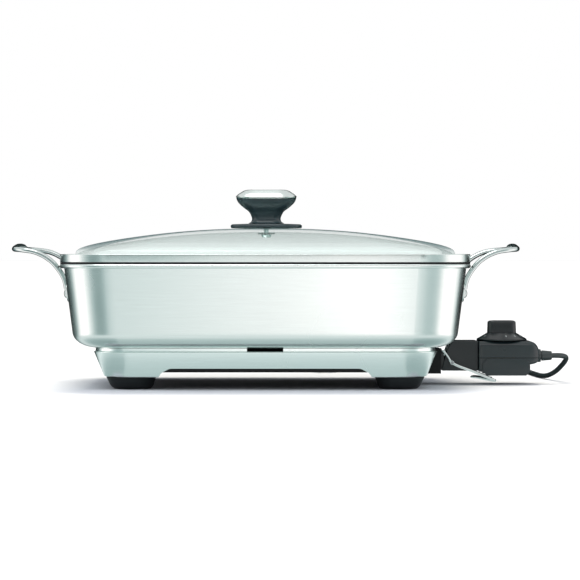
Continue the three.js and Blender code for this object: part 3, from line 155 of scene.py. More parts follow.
# Base
SKIRT_INSET = 0.0293
SKIRT_TOP = PAN_LIFT - 0.004
SKIRT_LOW = 0.013
SKIRT_DRAFT = 0.0099
SKIRT_HEM = 0.0008
SKIRT_EDGE = 0.0007
SKIRT_HEM_INSET = 0.0106
SKIRT_SHEET = 0.0012
LEDGE_INSET = 0.0018
ARCH_HALF = 0.110
ARCH_BELOW = 0.01
ARCH_EDGE = 0.0022
ARCH_REAR_HALF = 0.1245
ARCH_SIDE_HALF = 0.052
ARCH_TOP = 0.022
ARCH_SHOULDER = 0.0175
ARCH_SHOULDER_INSET = 0.0034
ARCH_TOP_INSET = 0.0118
SLOT_HALF = 0.0186
SLOT_DROP = 0.0034
FOOT_HEIGHT = 0.0127
FOOT_EDGE = 0.0006
FOOT_SINK = 0.0059
FOOT_LENGTH = 0.0511
FOOT_REAR_TRIM = 0.0125
FOOT_REAR_EASE = 0.001
FOOT_REAR_CORNER_SHARE = 0.985
FOOT_TAPER = 0.0083
FOOT_INNER_TAPER = 0.0052
FOOT_INSET = 0.0032
FOOT_CORNER_SHARE = 0.88
FOOT_NECK_INSET = 0.003
SHROUD_LOW, SHROUD_HIGH = (corner.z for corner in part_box("terminal_shroud"))
SHROUD_BACK, SHROUD_MOUTH = (corner.x - PAN_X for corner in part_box("terminal_shroud"))
SHROUD_HALF_WIDTH = 0.022
SHROUD_WALL = 0.0036
SCREW_RADIUS = 0.0019
SCREW_HEAD = 0.0042

# Probe
NECK_HALF_WIDTH = 0.020
NECK_LOW = 0.015
NECK_TOP_SHOULDER = 0.007
NECK_CHAMFER = 0.005
PROBE_HALF_WIDTH = 0.024
PROBE_SPLIT = 0.02885
PROBE_LOW = 0.014
PROBE_EDGE = 0.0055
PROBE_BACK_TOP = 0.011
UNDER_RUNS = (0.024, 0.015, 0.009, 0.0036, 0)
UNDER_RISES = (0, 0.007, 0.0078, 0.0092, 0.0112)
PROBE_BACK_ROUND = 0.012
CHEEK_FRONT = NECK_BACK + 0.004
CHEEK_BACK = PROBE_BACK - 0.010
CHEEK_LOW = 0.010
CHEEK_HIGH = 0.0284
CHEEK_PROUD = 0.0013
CHEEK_CORNER = 0.009
CHEEK_THICK = 0.0025
CHEEK_EDGE = 0.0006
HOUSING_WALL = 0.0022
HOUSING_ROOM_INSET = 0.004
HOUSING_ROOM_BACK = 0.0105
HOUSING_LEAD = 0.0006
HOUSING_LEAD_PLACES = (0.0008, 0.004)
BACK_DRAW_SHARE = 0.55
UNDER_EDGE = 0.003
EXIT_RADIUS = 0.0049
EXIT_DEPTH = 0.012
SPINDLE_ROOM = 0.0033
NECK_WALL = 0.0035
NECK_EDGE = 0.0018
NECK_SIDE_EDGE = 0.0022
NOSE_ROOM = 0.0005
NOSE_OVERLAP = 0.003
LEVER_ROOM = 0.0067
PIVOT_DEPTH = 0.0021
PIVOT_SHIFT = 0.0001
OVERRUN = 0.002
TERMINAL_SPREAD = 0.011
TERMINAL_Z = 0.024
PIN_BORE = 0.0023
ROD_BORE = 0.0048
RECEPTACLE_BORE = 0.0037
SENSOR_BORE = 0.00305
SOFT_EDGE = 0.0012

# Dial
DIAL_X = NECK_BACK + 0.0265
DIAL_RADIUS = 0.027
DIAL_BORE = 0.0036
DIAL_EDGE = 0.0008
DIAL_SOFTENING = 0.0005
MARK_THICK = 0.0002
DIAL_RIM = 0.0017
DIAL_CONE_TOP = 0.0154
DIAL_CONE_HEIGHT = 0.0084
DIAL_GRIP_LENGTH = 0.0312
DIAL_GRIP_WIDTH = 0.017
DIAL_GRIP_CORNER = 0.0055
DIAL_GRIP_HEIGHT = 0.0132
DIAL_GRIP_TAPER = 0.0012
DIAL_CROWN = 0.001
DIAL_TURN = math.radians(290)
DIAL_MARKS = 11
DIAL_FIRST_MARK = math.radians(8)
MARK_LENGTH = 0.0028
MARK_WIDTH = 0.0009

# Release lever
WIRE_RADIUS = 0.0014
LEVER_SPREAD = 0.027
LEVER_X = SHROUD_MOUTH + 0.0114
LEVER_Z = 0.024
LEVER_TIP_BACK = 0.0097
LEVER_TIP_RISE = 0.0132
LEVER_END_REACH = 0.046
LEVER_END_DROP = 0.0192
LEVER_CURL_BACK = 0.023
LEVER_CURL_SHARES = (0.3, 0.8)
LEVER_EYE = 0.0022
EYE_EDGE = 0.0004
LEVER_BORE = 0.0012

# Cord, with its places along X from the probe's back
CORD_DIAMETER = 0.0055
RELIEF_RING = 0.007
RELIEF_RING_LENGTH = 0.0036
RELIEF_INSIDE = 0.006
RELIEF_LENGTH = 0.0156
RELIEF_TIP = 0.0039
RELIEF_NECK = 0.0046
RELIEF_SLEEVE = 0.0057
RELIEF_SLEEVE_TIP = 0.0047
RELIEF_GROOVE = 0.001
RELIEF_EDGE = 0.0009
TIE_CORNER = 0.0022
COIL_TURNS = 3
COIL_X = -0.172
COIL_Y = 0.315
COIL_OUTER = 0.034
COIL_STEPS = 24
TURN_GAP = 0.0006
CORD_PITCH = CORD_DIAMETER + TURN_GAP
COIL_LOW = CORD_DIAMETER / 2 + 0.0012
TIE_THICK = 0.0008
TIE_WIDTH = 0.006
PLUG_X = -0.2254
PLUG_Y = 0.300
PLUG_LENGTH = 0.034
PLUG_RELIEF_LENGTH = 0.020
PLUG_HALF_WIDTH = 0.013
PLUG_HALF_HEIGHT = 0.009
PLUG_CORNER = 0.005
RUN_POINTS = (
    (0.0152, 0, 0.0305),
    (0.0205, 0, 0.0306),
    (0.026, 0.0016, 0.0303),
    (0.0306, 0.0064, 0.0292),
    (0.0329, 0.0146, 0.0269),
    (0.0329, 0.026, 0.0231),
    (0.031, 0.039, 0.0182),
    (0.0284, 0.0525, 0.0132),
    (0.0254, 0.0665, 0.0089),
    (0.0224, 0.081, 0.0058),
    (0.0196, 0.097, 0.0038),
    (0.017, 0.114, 0.003),
    (0.015, 0.134, 0.00295),
    (0.0136, 0.158, 0.00295),
    (0.0124, 0.184, 0.00295),
    (0.0108, 0.21, 0.00295),
    (0.0076, 0.236, 0.00295),
    (0.0016, 0.262, 0.00295),
    (-0.008, 0.287, 0.00295),
    (-0.021, 0.3086, 0.00295),
    (-0.0375, 0.326, 0.003),
    (-0.0575, 0.3386, 0.0032),
    (-0.08, 0.3464, 0.0035),
    (-0.105, 0.349, 0.0038),
    (-0.135, 0.349, 0.00395),
)
TAIL_POINTS = (
    (-0.186, 0.349, 0.0095),
    (-0.195, 0.3474, 0.008),
    (-0.204, 0.3434, 0.006),
    (-0.212, 0.3372, 0.0036),
    (-0.2184, 0.329, 0.0031),
    (-0.2228, 0.3194, 0.0042),
    (-0.2246, 0.311, 0.0066),
    (-0.2252, 0.305, 0.0085),
    (-0.2254, 0.3006, 0.0093),
)

# Glass
GLASS_ROUGHNESS = 0.05
GLASS_RIPPLE = 0.00004
GLASS_TINT = (0.965, 0.99, 0.984)
GLASS_SHEEN = (0.90, 0.95, 0.94)
GLASS_FACING = 0.03
GLASS_EDGE = 0.22
GLASS_POWER = 6
GLASS_OUTLINE = (0.30, 0.39, 0.395)
GLASS_OUTLINE_PLACES = (0.92, 0.985)

# Studio, with levels of light along the front and round each front corner, in degrees from the front
FLOOR_RADIUS = 70
FLOOR_SHADE = (0.53, 0.55, 0.60)
SUN_COLOUR = (1, 0.925, 0.757)
SUN_STRENGTH = 3.5
SUN_ANGLE = math.radians(27)
SUN_TILT = math.radians(-17)
WORLD_LEVEL = 1.0
KEY_PLACE = (-0.5, -0.9, 1.9)
KEY_AIM = (0, 0, 0.1)
KEY_SIZE = (1.2, 0.8)
KEY_POWER = 12
CARD_LIFT = 0.001
CARD_COOLING = 0.36
WARMEST = 1.1
NEAR_LEVEL = 0.92
CORNER_X = PAN_HALF_X - PAN_CORNER
CORNER_Y = PAN_HALF_Y - PAN_CORNER
FAN_NEAR = 0.09
FAN_FADE = 0.2
FAN_FAR = 0.75
FAN_HEIGHT = 0.35
FAN_STEPS = 30
FAN_WALL_FROM = math.radians(9)
RING_TURN = 174
LEFT_LEVELS = (
    (-6, 0.94), (6, 0.9), (16, 0.78), (28, 0.45), (42, 0.42), (54, 0.7),
    (66, 1.15), (80, 1.6), (98, 1.4), (108, 0.8), (118, 0.3), (132, 0.08), (174, 0.02),
)
RIGHT_LEVELS = (
    (-6, 1.7), (0, 1.25), (7, 0.92), (16, 0.84), (30, 0.68), (44, 0.7), (54, 0.9),
    (66, 1.4), (92, 1.5), (106, 1.25), (116, 0.8), (126, 0.08), (174, 0.02),
)
FRONT_NEAR = -0.19
FRONT_FADE = -0.4
FRONT_FAR = -0.94
FRONT_LEVELS = ((-0.17, 0.94), (-0.05, 1.12), (0.05, 1.28), (0.11, 1.7), (0.155, 1.7))
STRIP_LEVELS = ((-0.19, 0.95), (-0.175, 0.8), (-0.158, 0.68), (-0.12, 0.58))
RING_LEVELS = ((0.02, 0.45), (0.045, 0.48), (0.06, 0.58), (0.075, 0.74), (0.09, 0.92))
BAND_CARD_Y = -0.95
BAND_CARD_HEIGHTS = (0.02, 0.26)
BAND_CARD_LEVELS = (
    (-0.34, 0.62), (-0.22, 0.62), (-0.13, 0.78), (-0.08, 1.06), (0.0, 1.12), (0.08, 1.2),
    (0.13, 1.3), (0.155, 1.35), (0.19, 1.0), (0.26, 0.9),
)
FRONT_UPPER = ((-2.2, 2.2), -3.2, (0.24, 1.7), 0.05)
SOFTBOX = ((-1.1, 1.1), -2.0, (1.3, 2.5), 1.8)
BACK_CARD = ((-1.4, 1.4), (0.26, 0.9), 0.75, 0.05)

# How finely curves are stepped
CORNER_STEPS = 14
ARC_STEPS = 12
PATH_STEPS = 8
ROUND_SIDES = 48
SUPPORT = 0.0015
SHARP_ANGLE = math.radians(38)


# Curves and outlines
def smooth_path(points, steps=PATH_STEPS):
    """A centripetal Catmull-Rom curve through the points."""
    knots = [Vector(point) for point in points]
    knots = [2 * knots[0] - knots[1], *knots, 2 * knots[-1] - knots[-2]]
    path = []
    for a, b, c, d in zip(knots, knots[1:], knots[2:], knots[3:]):
        before, span, after = (math.sqrt((q - p).length) for p, q in ((a, b), (b, c), (c, d)))
        leave = ((b - a) / before - (c - a) / (before + span) + (c - b) / span) * span
        arrive = ((c - b) / span - (d - b) / (span + after) + (d - c) / after) * span
        for step in range(steps):
            t = step / steps
            path.append(
                b * (2 * t**3 - 3 * t**2 + 1)
                + leave * (t**3 - 2 * t**2 + t)
                + c * (3 * t**2 - 2 * t**3)
                + arrive * (t**3 - t**2)
            )
    path.append(knots[-2])
    return path


def softened(points, radius, closed=False, steps=4):
    """The outline with each corner rounded by about the radius."""
    corners = [Vector(point) for point in points]
    count = len(corners)
    path = []
    for i, corner in enumerate(corners):
        if not closed and i in (0, count - 1):
            path.append(corner)
            continue
        before = corners[i - 1] - corner
        after = corners[(i + 1) % count] - corner
        reach = min(radius, 0.45 * before.length, 0.45 * after.length)
        start = corner + before.normalized() * reach
        end = corner + after.normalized() * reach
        for step in range(steps + 1):
            t = step / steps
            path.append(start * (1 - t) ** 2 + corner * 2 * t * (1 - t) + end * t**2)
    return path


def ring(half_x, half_y, corner, z, centre=(0, 0)):
    """A rounded rectangle, with a point on each straight side just beyond its corners."""
    points = []
    support = min(SUPPORT, 0.4 * (half_x - corner), 0.4 * (half_y - corner))
    for quarter, (side_x, side_y) in enumerate(((1, 1), (-1, 1), (-1, -1), (1, -1))):
        middle = Vector((centre[0] + side_x * (half_x - corner), centre[1] + side_y * (half_y - corner), z))
        arc = []
        for step in range(CORNER_STEPS + 1):
            angle = (quarter + step / CORNER_STEPS) * QUARTER
            arc.append(middle + corner * Vector((math.cos(angle), math.sin(angle), 0)))
        start = quarter * QUARTER
        along = Vector((-math.sin(start), math.cos(start), 0))
        past = Vector((-math.cos(start), -math.sin(start), 0))
        points += [arc[0] - along * support, *arc, arc[-1] + past * support]
    return points


def quarter_turn(steps=ARC_STEPS, first=0):
    return [first * QUARTER + step / steps * QUARTER for step in range(steps + 1)]


def pairs(points):
    return [(point.x, point.y) for point in points]


def inset_ring(outline, inset, z):
    half_x, half_y, corner = outline
    return ring(half_x - inset, half_y - inset, corner - inset * CORNER_KEEP_SHARE, z)


# Meshes
def loft(rings, closed=False):
    """Joins rings of equal count. An open loft is capped at both ends."""
    mesh = bmesh.new()
    rows = [[mesh.verts.new(point) for point in points] for points in rings]
    if closed:
        rows.append(rows[0])
    for low, high in zip(rows, rows[1:]):
        for i in range(len(low)):
            mesh.faces.new((low[i - 1], low[i], high[i], high[i - 1]))
    if not closed:
        for row in (rows[0], rows[-1]):
            middle = mesh.verts.new(sum((vert.co for vert in row), Vector()) / len(row))
            for i in range(len(row)):
                mesh.faces.new((row[i - 1], row[i], middle))
    bmesh.ops.recalc_face_normals(mesh, faces=mesh.faces)
    return mesh


def profiled(outline, profile, closed=True):
    """A profile of (inset, height) pairs carried round an outline."""
    return loft([inset_ring(outline, inset, z) for inset, z in profile], closed)


def turned(profile, closed=False):
    """A lathe about +Z from (radius, height) pairs."""
    rows = []
    for radius, z in profile:
        angles = [2 * math.pi * i / ROUND_SIDES for i in range(ROUND_SIDES)]
        rows.append([(radius * math.cos(a), radius * math.sin(a), z) for a in angles])
    return loft(rows, closed)


def tube(path, radius, sides=16):
    """A round tube along a path, closed flat at each end."""
    mesh_rings = []
    normal = None
    count = len(path)
    for i, point in enumerate(path):
        along = (path[min(i + 1, count - 1)] - path[max(i - 1, 0)]).normalized()
        if normal is None:
            normal = along.orthogonal().normalized()
        normal = (normal - along * normal.dot(along)).normalized()
        across = along.cross(normal)
        turns = [2 * math.pi * k / sides for k in range(sides)]
        mesh_rings.append([point + radius * (normal * math.cos(a) + across * math.sin(a)) for a in turns])
    return loft(mesh_rings)


def slab(outline, half_width, edge=0.0):
    """An outline drawn in the XZ plane, given thickness along Y, with rounded rims."""
    mesh = bmesh.new()
    verts = [mesh.verts.new((x, -half_width, z)) for x, z in outline]
    face = mesh.faces.new(verts)
    made = bmesh.ops.extrude_face_region(mesh, geom=[face])["geom"]
    moved = [item for item in made if isinstance(item, bmesh.types.BMVert)]
    bmesh.ops.translate(mesh, verts=moved, vec=(0, 2 * half_width, 0))
    bmesh.ops.recalc_face_normals(mesh, faces=mesh.faces)
    if edge:
        rims = [e for e in mesh.edges if abs(e.verts[0].co.y - e.verts[1].co.y) < half_width]
        bmesh.ops.bevel(mesh, geom=rims, offset=edge, segments=5, profile=0.5, affect="EDGES", clamp_overlap=True)
    return mesh


def block(low, high):
    mesh = bmesh.new()
    bmesh.ops.create_cube(mesh, size=1)
    size = Vector(high) - Vector(low)
    bmesh.ops.scale(mesh, verts=mesh.verts, vec=size)
    bmesh.ops.translate(mesh, verts=mesh.verts, vec=(Vector(low) + Vector(high)) / 2)
    return mesh


def placed(mesh, matrix):
    bmesh.ops.transform(mesh, matrix=matrix, verts=mesh.verts)
    return mesh


def at(x, y, z):
    return Matrix.Translation((x, y, z))


def about(axis, angle=QUARTER):
    return Matrix.Rotation(angle, 4, axis)


def added(name, data):
    """A new object in the scene that carries the data."""
    made = bpy.data.objects.new(name, data)
    bpy.context.scene.collection.objects.link(made)
    return made


def bore(radius, start, end, y=0, z=AXIS_Z):
    """A round cutter along X."""
    return placed(placed(turned([(radius, start), (radius, end)]), about("Y")), at(0, y, z))


def joined(*meshes):
    whole = bmesh.new()
    for mesh in meshes:
        data = bpy.data.meshes.new("part")
        mesh.to_mesh(data)
        mesh.free()
        whole.from_mesh(data)
        bpy.data.meshes.remove(data)
    return whole


def object_of(mesh, name):
    data = bpy.data.meshes.new(name)
    bmesh.ops.translate(mesh, verts=mesh.verts, vec=(PAN_X, 0, 0))
    mesh.to_mesh(data)
    mesh.free()
    return added(name, data)


def combined(base, tools, operation="DIFFERENCE"):
    """Cuts the tools from a mesh, or joins them to it."""
    body = object_of(base, "body")
    others = [object_of(tool, "tool") for tool in tools]
    for other in others:
        change = body.modifiers.new("change", "BOOLEAN")
        change.object = other
        change.operation = operation
        change.solver = "EXACT"
    graph = bpy.context.evaluated_depsgraph_get()
    data = bpy.data.meshes.new_from_object(body.evaluated_get(graph))
    for other in (body, *others):
        bpy.data.objects.remove(other)
    mesh = bmesh.new()
    mesh.from_mesh(data)
    bpy.data.meshes.remove(data)
    bmesh.ops.translate(mesh, verts=mesh.verts, vec=(-PAN_X, 0, 0))
    return mesh


def piece(name, mesh, body, slot, material, *nodes):
    made = object_of(mesh, name)
    made.data.shade_smooth()
    made.data.set_sharp_from_angle(angle=SHARP_ANGLE)
    made.data.materials.append(material)
    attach(made, body)
    if nodes:
        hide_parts(*nodes)
    return made


# Materials
class Nodes:
    """A node tree with small builders for its nodes and links."""

    def __init__(self, tree):
        self.tree = tree

    def node(self, kind, **inputs):
        made = self.tree.nodes.new(kind)
        for socket, value in inputs.items():
            made.inputs[socket.replace("_", " ")].default_value = value
        return made

    def link(self, output, target):
        self.tree.links.new(output, target)

    def computed(self, kind, operation, result, inputs):
        made = self.node(kind)
        made.operation = operation
        for socket, value in zip(made.inputs, inputs):
            if isinstance(value, bpy.types.NodeSocket):
                self.link(value, socket)
            else:
                socket.default_value = value
        return made.outputs[result]

    def number(self, operation, *inputs):
        return self.computed("ShaderNodeMath", operation, "Value", inputs)

    def vector(self, operation, *inputs, result="Vector"):
        return self.computed("ShaderNodeVectorMath", operation, result, inputs)


class Shader(Nodes):
    """A Principled material with procedural tone, roughness and relief."""

    def __init__(self, name, colour, roughness, metallic=0.0, **settings):
        self.material = bpy.data.materials.new(name)
        self.material.use_nodes = True
        super().__init__(self.material.node_tree)
        self.surface = self.tree.nodes["Principled BSDF"]
        self.set("Base Color", (*colour, 1))
        self.set("Roughness", roughness)
        self.set("Metallic", metallic)
        for socket, value in settings.items():
            self.set(socket.replace("_", " "), value)

    def set(self, socket, value):
        self.surface.inputs[socket].default_value = value

    def noise(self, stretch, detail=3.0, roughness=0.55, offset=0.0):
        """Noise over the object's own place, with the number of features to a metre along each axis."""
        place = self.node("ShaderNodeTexCoord")
        mapping = self.node("ShaderNodeMapping", Scale=stretch, Location=(offset, offset, offset))
        texture = self.node("ShaderNodeTexNoise", Scale=1.0, Detail=detail, Roughness=roughness)
        self.link(place.outputs["Object"], mapping.inputs["Vector"])
        self.link(mapping.outputs["Vector"], texture.inputs["Vector"])
        return texture.outputs["Fac"]

    def spread(self, value, low, high):
        """The value's middle range brought to low and high."""
        ranged = self.node("ShaderNodeMapRange", From_Min=0.2, From_Max=0.8, To_Min=low, To_Max=high)
        ranged.interpolation_type = "SMOOTHSTEP"
        self.link(value, ranged.inputs["Value"])
        return ranged.outputs["Result"]

    def vary_colour(self, value, dark, light):
        self.link(self.ramp(value, (0.3, 0.7), (dark, light)), self.surface.inputs["Base Color"])

    def ramp(self, value, places, colours):
        ramp = self.node("ShaderNodeValToRGB")
        for element, place, colour in zip(ramp.color_ramp.elements, places, colours):
            element.position = place
            element.color = (*colour, 1)
        self.link(value, ramp.inputs["Fac"])
        return ramp.outputs["Color"]

    def vary_roughness(self, value, low, high):
        self.link(self.spread(value, low, high), self.surface.inputs["Roughness"])

    def relief(self, value, distance, strength=1.0):
        bump = self.node("ShaderNodeBump", Strength=strength, Distance=distance)
        self.link(value, bump.inputs["Height"])
        before = self.surface.inputs["Normal"]
        if before.links:
            self.link(before.links[0].from_socket, bump.inputs["Normal"])
        self.link(bump.outputs["Normal"], before)


FINE_GRAIN = (900, 900, 900)
INNER_SHADE_FROM = 0.002
BRUSHED = (30, 30, 1900)


def tint(colour, share):
    return tuple(min(1.0, channel * share) for channel in colour)


def metal_shader(name, colour, roughness, brushed=FINE_GRAIN, relief=0.000012, variation=0.06):
    """A metal with fine brushing along its surface and faint cloudiness."""
    shader = Shader(name, colour, roughness, 1.0)
    brush = shader.noise(brushed, detail=4.0, roughness=0.65)
    cloud = shader.noise((9, 9, 14), detail=2.0, offset=3.0)
    shader.vary_colour(brush, tint(colour, 1 - variation), tint(colour, 1 + variation))
    shader.vary_roughness(cloud, roughness * 0.85, roughness * 1.15)
    shader.relief(brush, relief)
    return shader


def metal(*finish, **settings):
    return metal_shader(*finish, **settings).material


def metal_with_painted_inner_shade(inner_shade, *finish, **settings):
    """A metal sheet whose inner side, which faces the middle of the base, is painted near black: painted shade for
    the dark inside of the base.
    """
    shader = metal_shader(*finish, **settings)
    place = shader.node("ShaderNodeTexCoord").outputs["Object"]
    normal = shader.node("ShaderNodeNewGeometry").outputs["True Normal"]
    across = shader.vector("MULTIPLY_ADD", place, (1, 1, 0), (-PAN_X, 0, 0))
    outward = shader.vector("DOT_PRODUCT", across, normal, result="Value")
    inner_shade_mix = shader.node("ShaderNodeMix")
    inner_shade_mix.data_type = "RGBA"
    inner_shade_mix.inputs["B"].default_value = (*inner_shade, 1)
    socket = shader.surface.inputs["Base Color"]
    # Faces turned towards the middle of the base take the painted shade colour.
    shader.link(shader.number("LESS_THAN", outward, -INNER_SHADE_FROM), inner_shade_mix.inputs["Factor"])
    shader.link(socket.links[0].from_socket, inner_shade_mix.inputs["A"])
    shader.link(inner_shade_mix.outputs["Result"], socket)
    return shader.material


def plastic(name, colour, roughness, grain=2600, relief=0.00003, **settings):
    """A moulded plastic or rubber with a fine even grain and a slightly uneven tone."""
    shader = Shader(name, colour, roughness, **settings)
    fine = shader.noise((grain, grain, grain), detail=2.0)
    broad = shader.noise((28, 28, 28), detail=2.0, offset=5.0)
    shader.vary_colour(broad, tint(colour, 0.9), tint(colour, 1.1))
    shader.vary_roughness(broad, roughness * 0.9, roughness * 1.1)
    shader.relief(fine, relief)
    return shader.material


def clear_glass(name, outline_colour):
    """Thin tempered glass: seen straight through, and darker and glossier where it turns away."""
    shader = Shader(name, GLASS_TINT, GLASS_ROUGHNESS)
    body = shader.node("ShaderNodeBsdfTransparent")
    gloss = shader.node("ShaderNodeBsdfAnisotropic", Roughness=GLASS_ROUGHNESS, Color=(*GLASS_SHEEN, 1))
    facing = shader.node("ShaderNodeLayerWeight", Blend=0.5).outputs["Facing"]
    skin = shader.node("ShaderNodeMapRange", To_Min=GLASS_FACING, To_Max=GLASS_EDGE)
    both = shader.node("ShaderNodeMixShader")
    bump = shader.node("ShaderNodeBump", Strength=1.0, Distance=GLASS_RIPPLE)
    outline = shader.ramp(facing, GLASS_OUTLINE_PLACES, (GLASS_TINT, outline_colour))
    shader.link(outline, body.inputs["Color"])
    shader.link(shader.noise((22, 22, 22), detail=1.0), bump.inputs["Height"])
    shader.link(bump.outputs["Normal"], gloss.inputs["Normal"])
    shader.link(shader.number("POWER", facing, GLASS_POWER), skin.inputs["Value"])
    for output, target in zip((skin.outputs["Result"], body.outputs[0], gloss.outputs[0]), both.inputs):
        shader.link(output, target)
    shader.link(both.outputs["Shader"], shader.tree.nodes["Material Output"].inputs["Surface"])
    shader.tree.nodes.remove(shader.surface)
    return shader.material


STEEL = metal("brushed_stainless", (0.70, 0.785, 0.765), 0.25, BRUSHED, 0.000004, 0.03)
# Near-black painted shade for the skirt's inner side, so the slot and arches look dark inside.
SKIRT_INNER_SHADE = (0.004, 0.004, 0.004)
# The skirt's steel is a lighter copy of the pan's steel, painted light against the shaded floor it reflects; its
# inner side takes the painted shade.
SKIRT_STEEL_PAINTED_LIGHT_AND_SHADE = metal_with_painted_inner_shade(SKIRT_INNER_SHADE, "coated_skirt_steel", (0.84, 0.93, 0.91), 0.25, BRUSHED, 0.000004, 0.03)
BAND_STEEL = metal("satin_band_stainless", (0.66, 0.74, 0.72), 0.22, (30, 30, 2400), 0.000004, 0.03)
POLISHED = metal("polished_stainless", (0.80, 0.85, 0.835), 0.12, relief=0.000004, variation=0.03)
WIRE = metal("polished_wire", (0.54, 0.61, 0.60), 0.17, relief=0.000003, variation=0.03)
CAP_STEEL = metal("satin_cap_steel", (0.62, 0.68, 0.665), 0.26, brushed=(60, 1800, 1800), relief=0.000006)
CHROME = metal("chrome_wire", (0.62, 0.68, 0.67), 0.12, relief=0.000003, variation=0.03)
DARK_STEEL = metal("zinc_plated_steel", (0.30, 0.32, 0.33), 0.42, relief=0.00002)
# The heat spreader is coloured near black as painted shade for the dark inside of the base seen through the slot.
HEAT_SPREADER_SHADE = metal("blackened_cast_aluminium", (0.012, 0.012, 0.012), 0.6, relief=0.00004)
ALUMINIUM = metal("cast_aluminium", (0.55, 0.57, 0.58), 0.45, relief=0.00004)
BRASS = metal("brass", (0.62, 0.46, 0.19), 0.33, relief=0.00001)
PROBE_PLASTIC = plastic("probe_plastic", (0.008, 0.018, 0.021), 0.3)
NECK_PLASTIC = plastic("neck_plastic", (0.004, 0.009, 0.011), 0.34)
DIAL_PLASTIC = plastic("dial_plastic", (0.004, 0.009, 0.011), 0.3)
KNOB_PLASTIC = plastic("knob_plastic", (0.020, 0.040, 0.047), 0.3)
BLACK_PLASTIC = plastic("black_plastic", (0.004, 0.005, 0.006), 0.55, Specular_IOR_Level=0.2)
FOOT_RUBBER = plastic("foot_rubber", (0.006, 0.009, 0.011), 0.55, grain=1500, relief=0.00006, Specular_IOR_Level=0.3)
CORD_RUBBER = plastic("cord_rubber", (0.022, 0.033, 0.035), 0.38, grain=1800, relief=0.00005)
SILICONE = plastic("silicone", (0.02, 0.023, 0.024), 0.5, grain=900)
# Near-black painted shade for the shadow gap under the lid band.
GAP_SHADE_BLACK = plastic("gap_shade_black", (0.006, 0.009, 0.01), 0.6, grain=900, Specular_IOR_Level=0.25)
NYLON = plastic("nylon", (0.62, 0.66, 0.65), 0.45, grain=1200)
CERAMIC = plastic("ceramic", (0.66, 0.62, 0.54), 0.7, grain=1200, relief=0.00008)
MARK_PAINT = plastic("mark_paint", (0.42, 0.47, 0.46), 0.5, grain=3000)
GLASS = clear_glass("tempered_glass", GLASS_OUTLINE)
GLASS_INNER = clear_glass("tempered_glass_inner", GLASS_TINT)


# Camera
def make_camera():
    data = bpy.data.cameras.new("photo_camera")
    data.lens = VIEW_LENS
    data.sensor_width = 36
    data.clip_end = 100
    camera = added("photo_camera", data)
    camera.location = (VIEW_X, -VIEW_DISTANCE, VIEW_HEIGHT)
    camera.rotation_euler = (QUARTER - VIEW_PITCH, 0, 0)
    bpy.context.scene.camera = camera


# Cord
def coil_centres():
    """Turns spiral in on the lower layer, climb in the half turn where they reverse, and spiral out above."""
    centres = []
    steps = COIL_TURNS * COIL_STEPS
    for step in range(steps + 1):
        turn = step / COIL_STEPS
        angle = QUARTER + 2 * math.pi * turn
        radius = COIL_OUTER - CORD_PITCH * min(turn, COIL_TURNS - turn)
        climb = min(1.0, max(0.0, 2 * (turn - COIL_TURNS / 2) + 0.5))
        climb = climb**2 * (3 - 2 * climb)
        x = COIL_X + radius * math.cos(angle)
        centres.append((x, COIL_Y + radius * math.sin(angle), COIL_LOW + CORD_PITCH * climb))
    return centres


def make_cord():
    route = [*smooth_path(RUN_POINTS), *smooth_path(coil_centres(), 2), *smooth_path(TAIL_POINTS)]
    data = bpy.data.curves.new("mains_cord", "CURVE")
    data.dimensions = "3D"
    data.bevel_depth = CORD_DIAMETER / 2
    data.bevel_resolution = 4
    data.use_fill_caps = True
    spline = data.splines.new("POLY")
    spline.points.add(len(route) - 1)
    for point, place in zip(spline.points, route):
        point.co = (place.x + PROBE_BACK + PAN_X, place.y, place.z, 1)
    spline.use_smooth = True
    cord = added("mains_cord", data)
    data.materials.append(CORD_RUBBER)
    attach(cord, "probe")
    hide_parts("cord_run", "cord_coil", "cord_tail")
    return cord


def make_strain_relief():
    """A round collar on the housing, then a shallow flexing groove and a tapered sleeve."""
    profile = softened([
        (0, -RELIEF_INSIDE, 0),
        (RELIEF_NECK, -RELIEF_INSIDE, 0),
        (RELIEF_NECK, FIT, 0),
        (RELIEF_RING, FIT, 0),
        (RELIEF_RING, RELIEF_RING_LENGTH, 0),
        (RELIEF_NECK, RELIEF_RING_LENGTH, 0),
        (RELIEF_NECK, RELIEF_RING_LENGTH + RELIEF_GROOVE, 0),
        (RELIEF_SLEEVE, RELIEF_RING_LENGTH + RELIEF_GROOVE, 0),
        (RELIEF_SLEEVE_TIP, RELIEF_LENGTH, 0),
        (0, RELIEF_LENGTH, 0),
    ], RELIEF_EDGE)
    mesh = turned([(max(point.x, NEAR_AXIS), point.y) for point in profile])
    mesh = placed(mesh, at(PROBE_BACK, 0, AXIS_Z) @ about("Y"))
    return piece("tapered_relief", mesh, "probe", "cord_rubber", CORD_RUBBER, "strain_relief")


def make_cord_tie():
    low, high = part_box("cord_tie")
    half_x = (high.x - low.x) / 2
    half_z = (high.z - low.z) / 2
    outer = (half_x, half_z, TIE_CORNER)
    rows = []
    for inset, share in ((0, -1), (0, 1), (TIE_THICK, 1), (TIE_THICK, -1)):
        points = ring(outer[0] - inset, outer[1] - inset, outer[2] - inset, share * TIE_WIDTH / 2)
        rows.append(points)
    mesh = placed(loft(rows, closed=True), about("X"))
    centre = ((low.x + high.x) / 2 - PAN_X, (low.y + high.y) / 2, (low.z + high.z) / 2)
    mesh = placed(mesh, at(*centre))
    return piece("coil_tie", mesh, "probe", "black_plastic", BLACK_PLASTIC, "cord_tie")


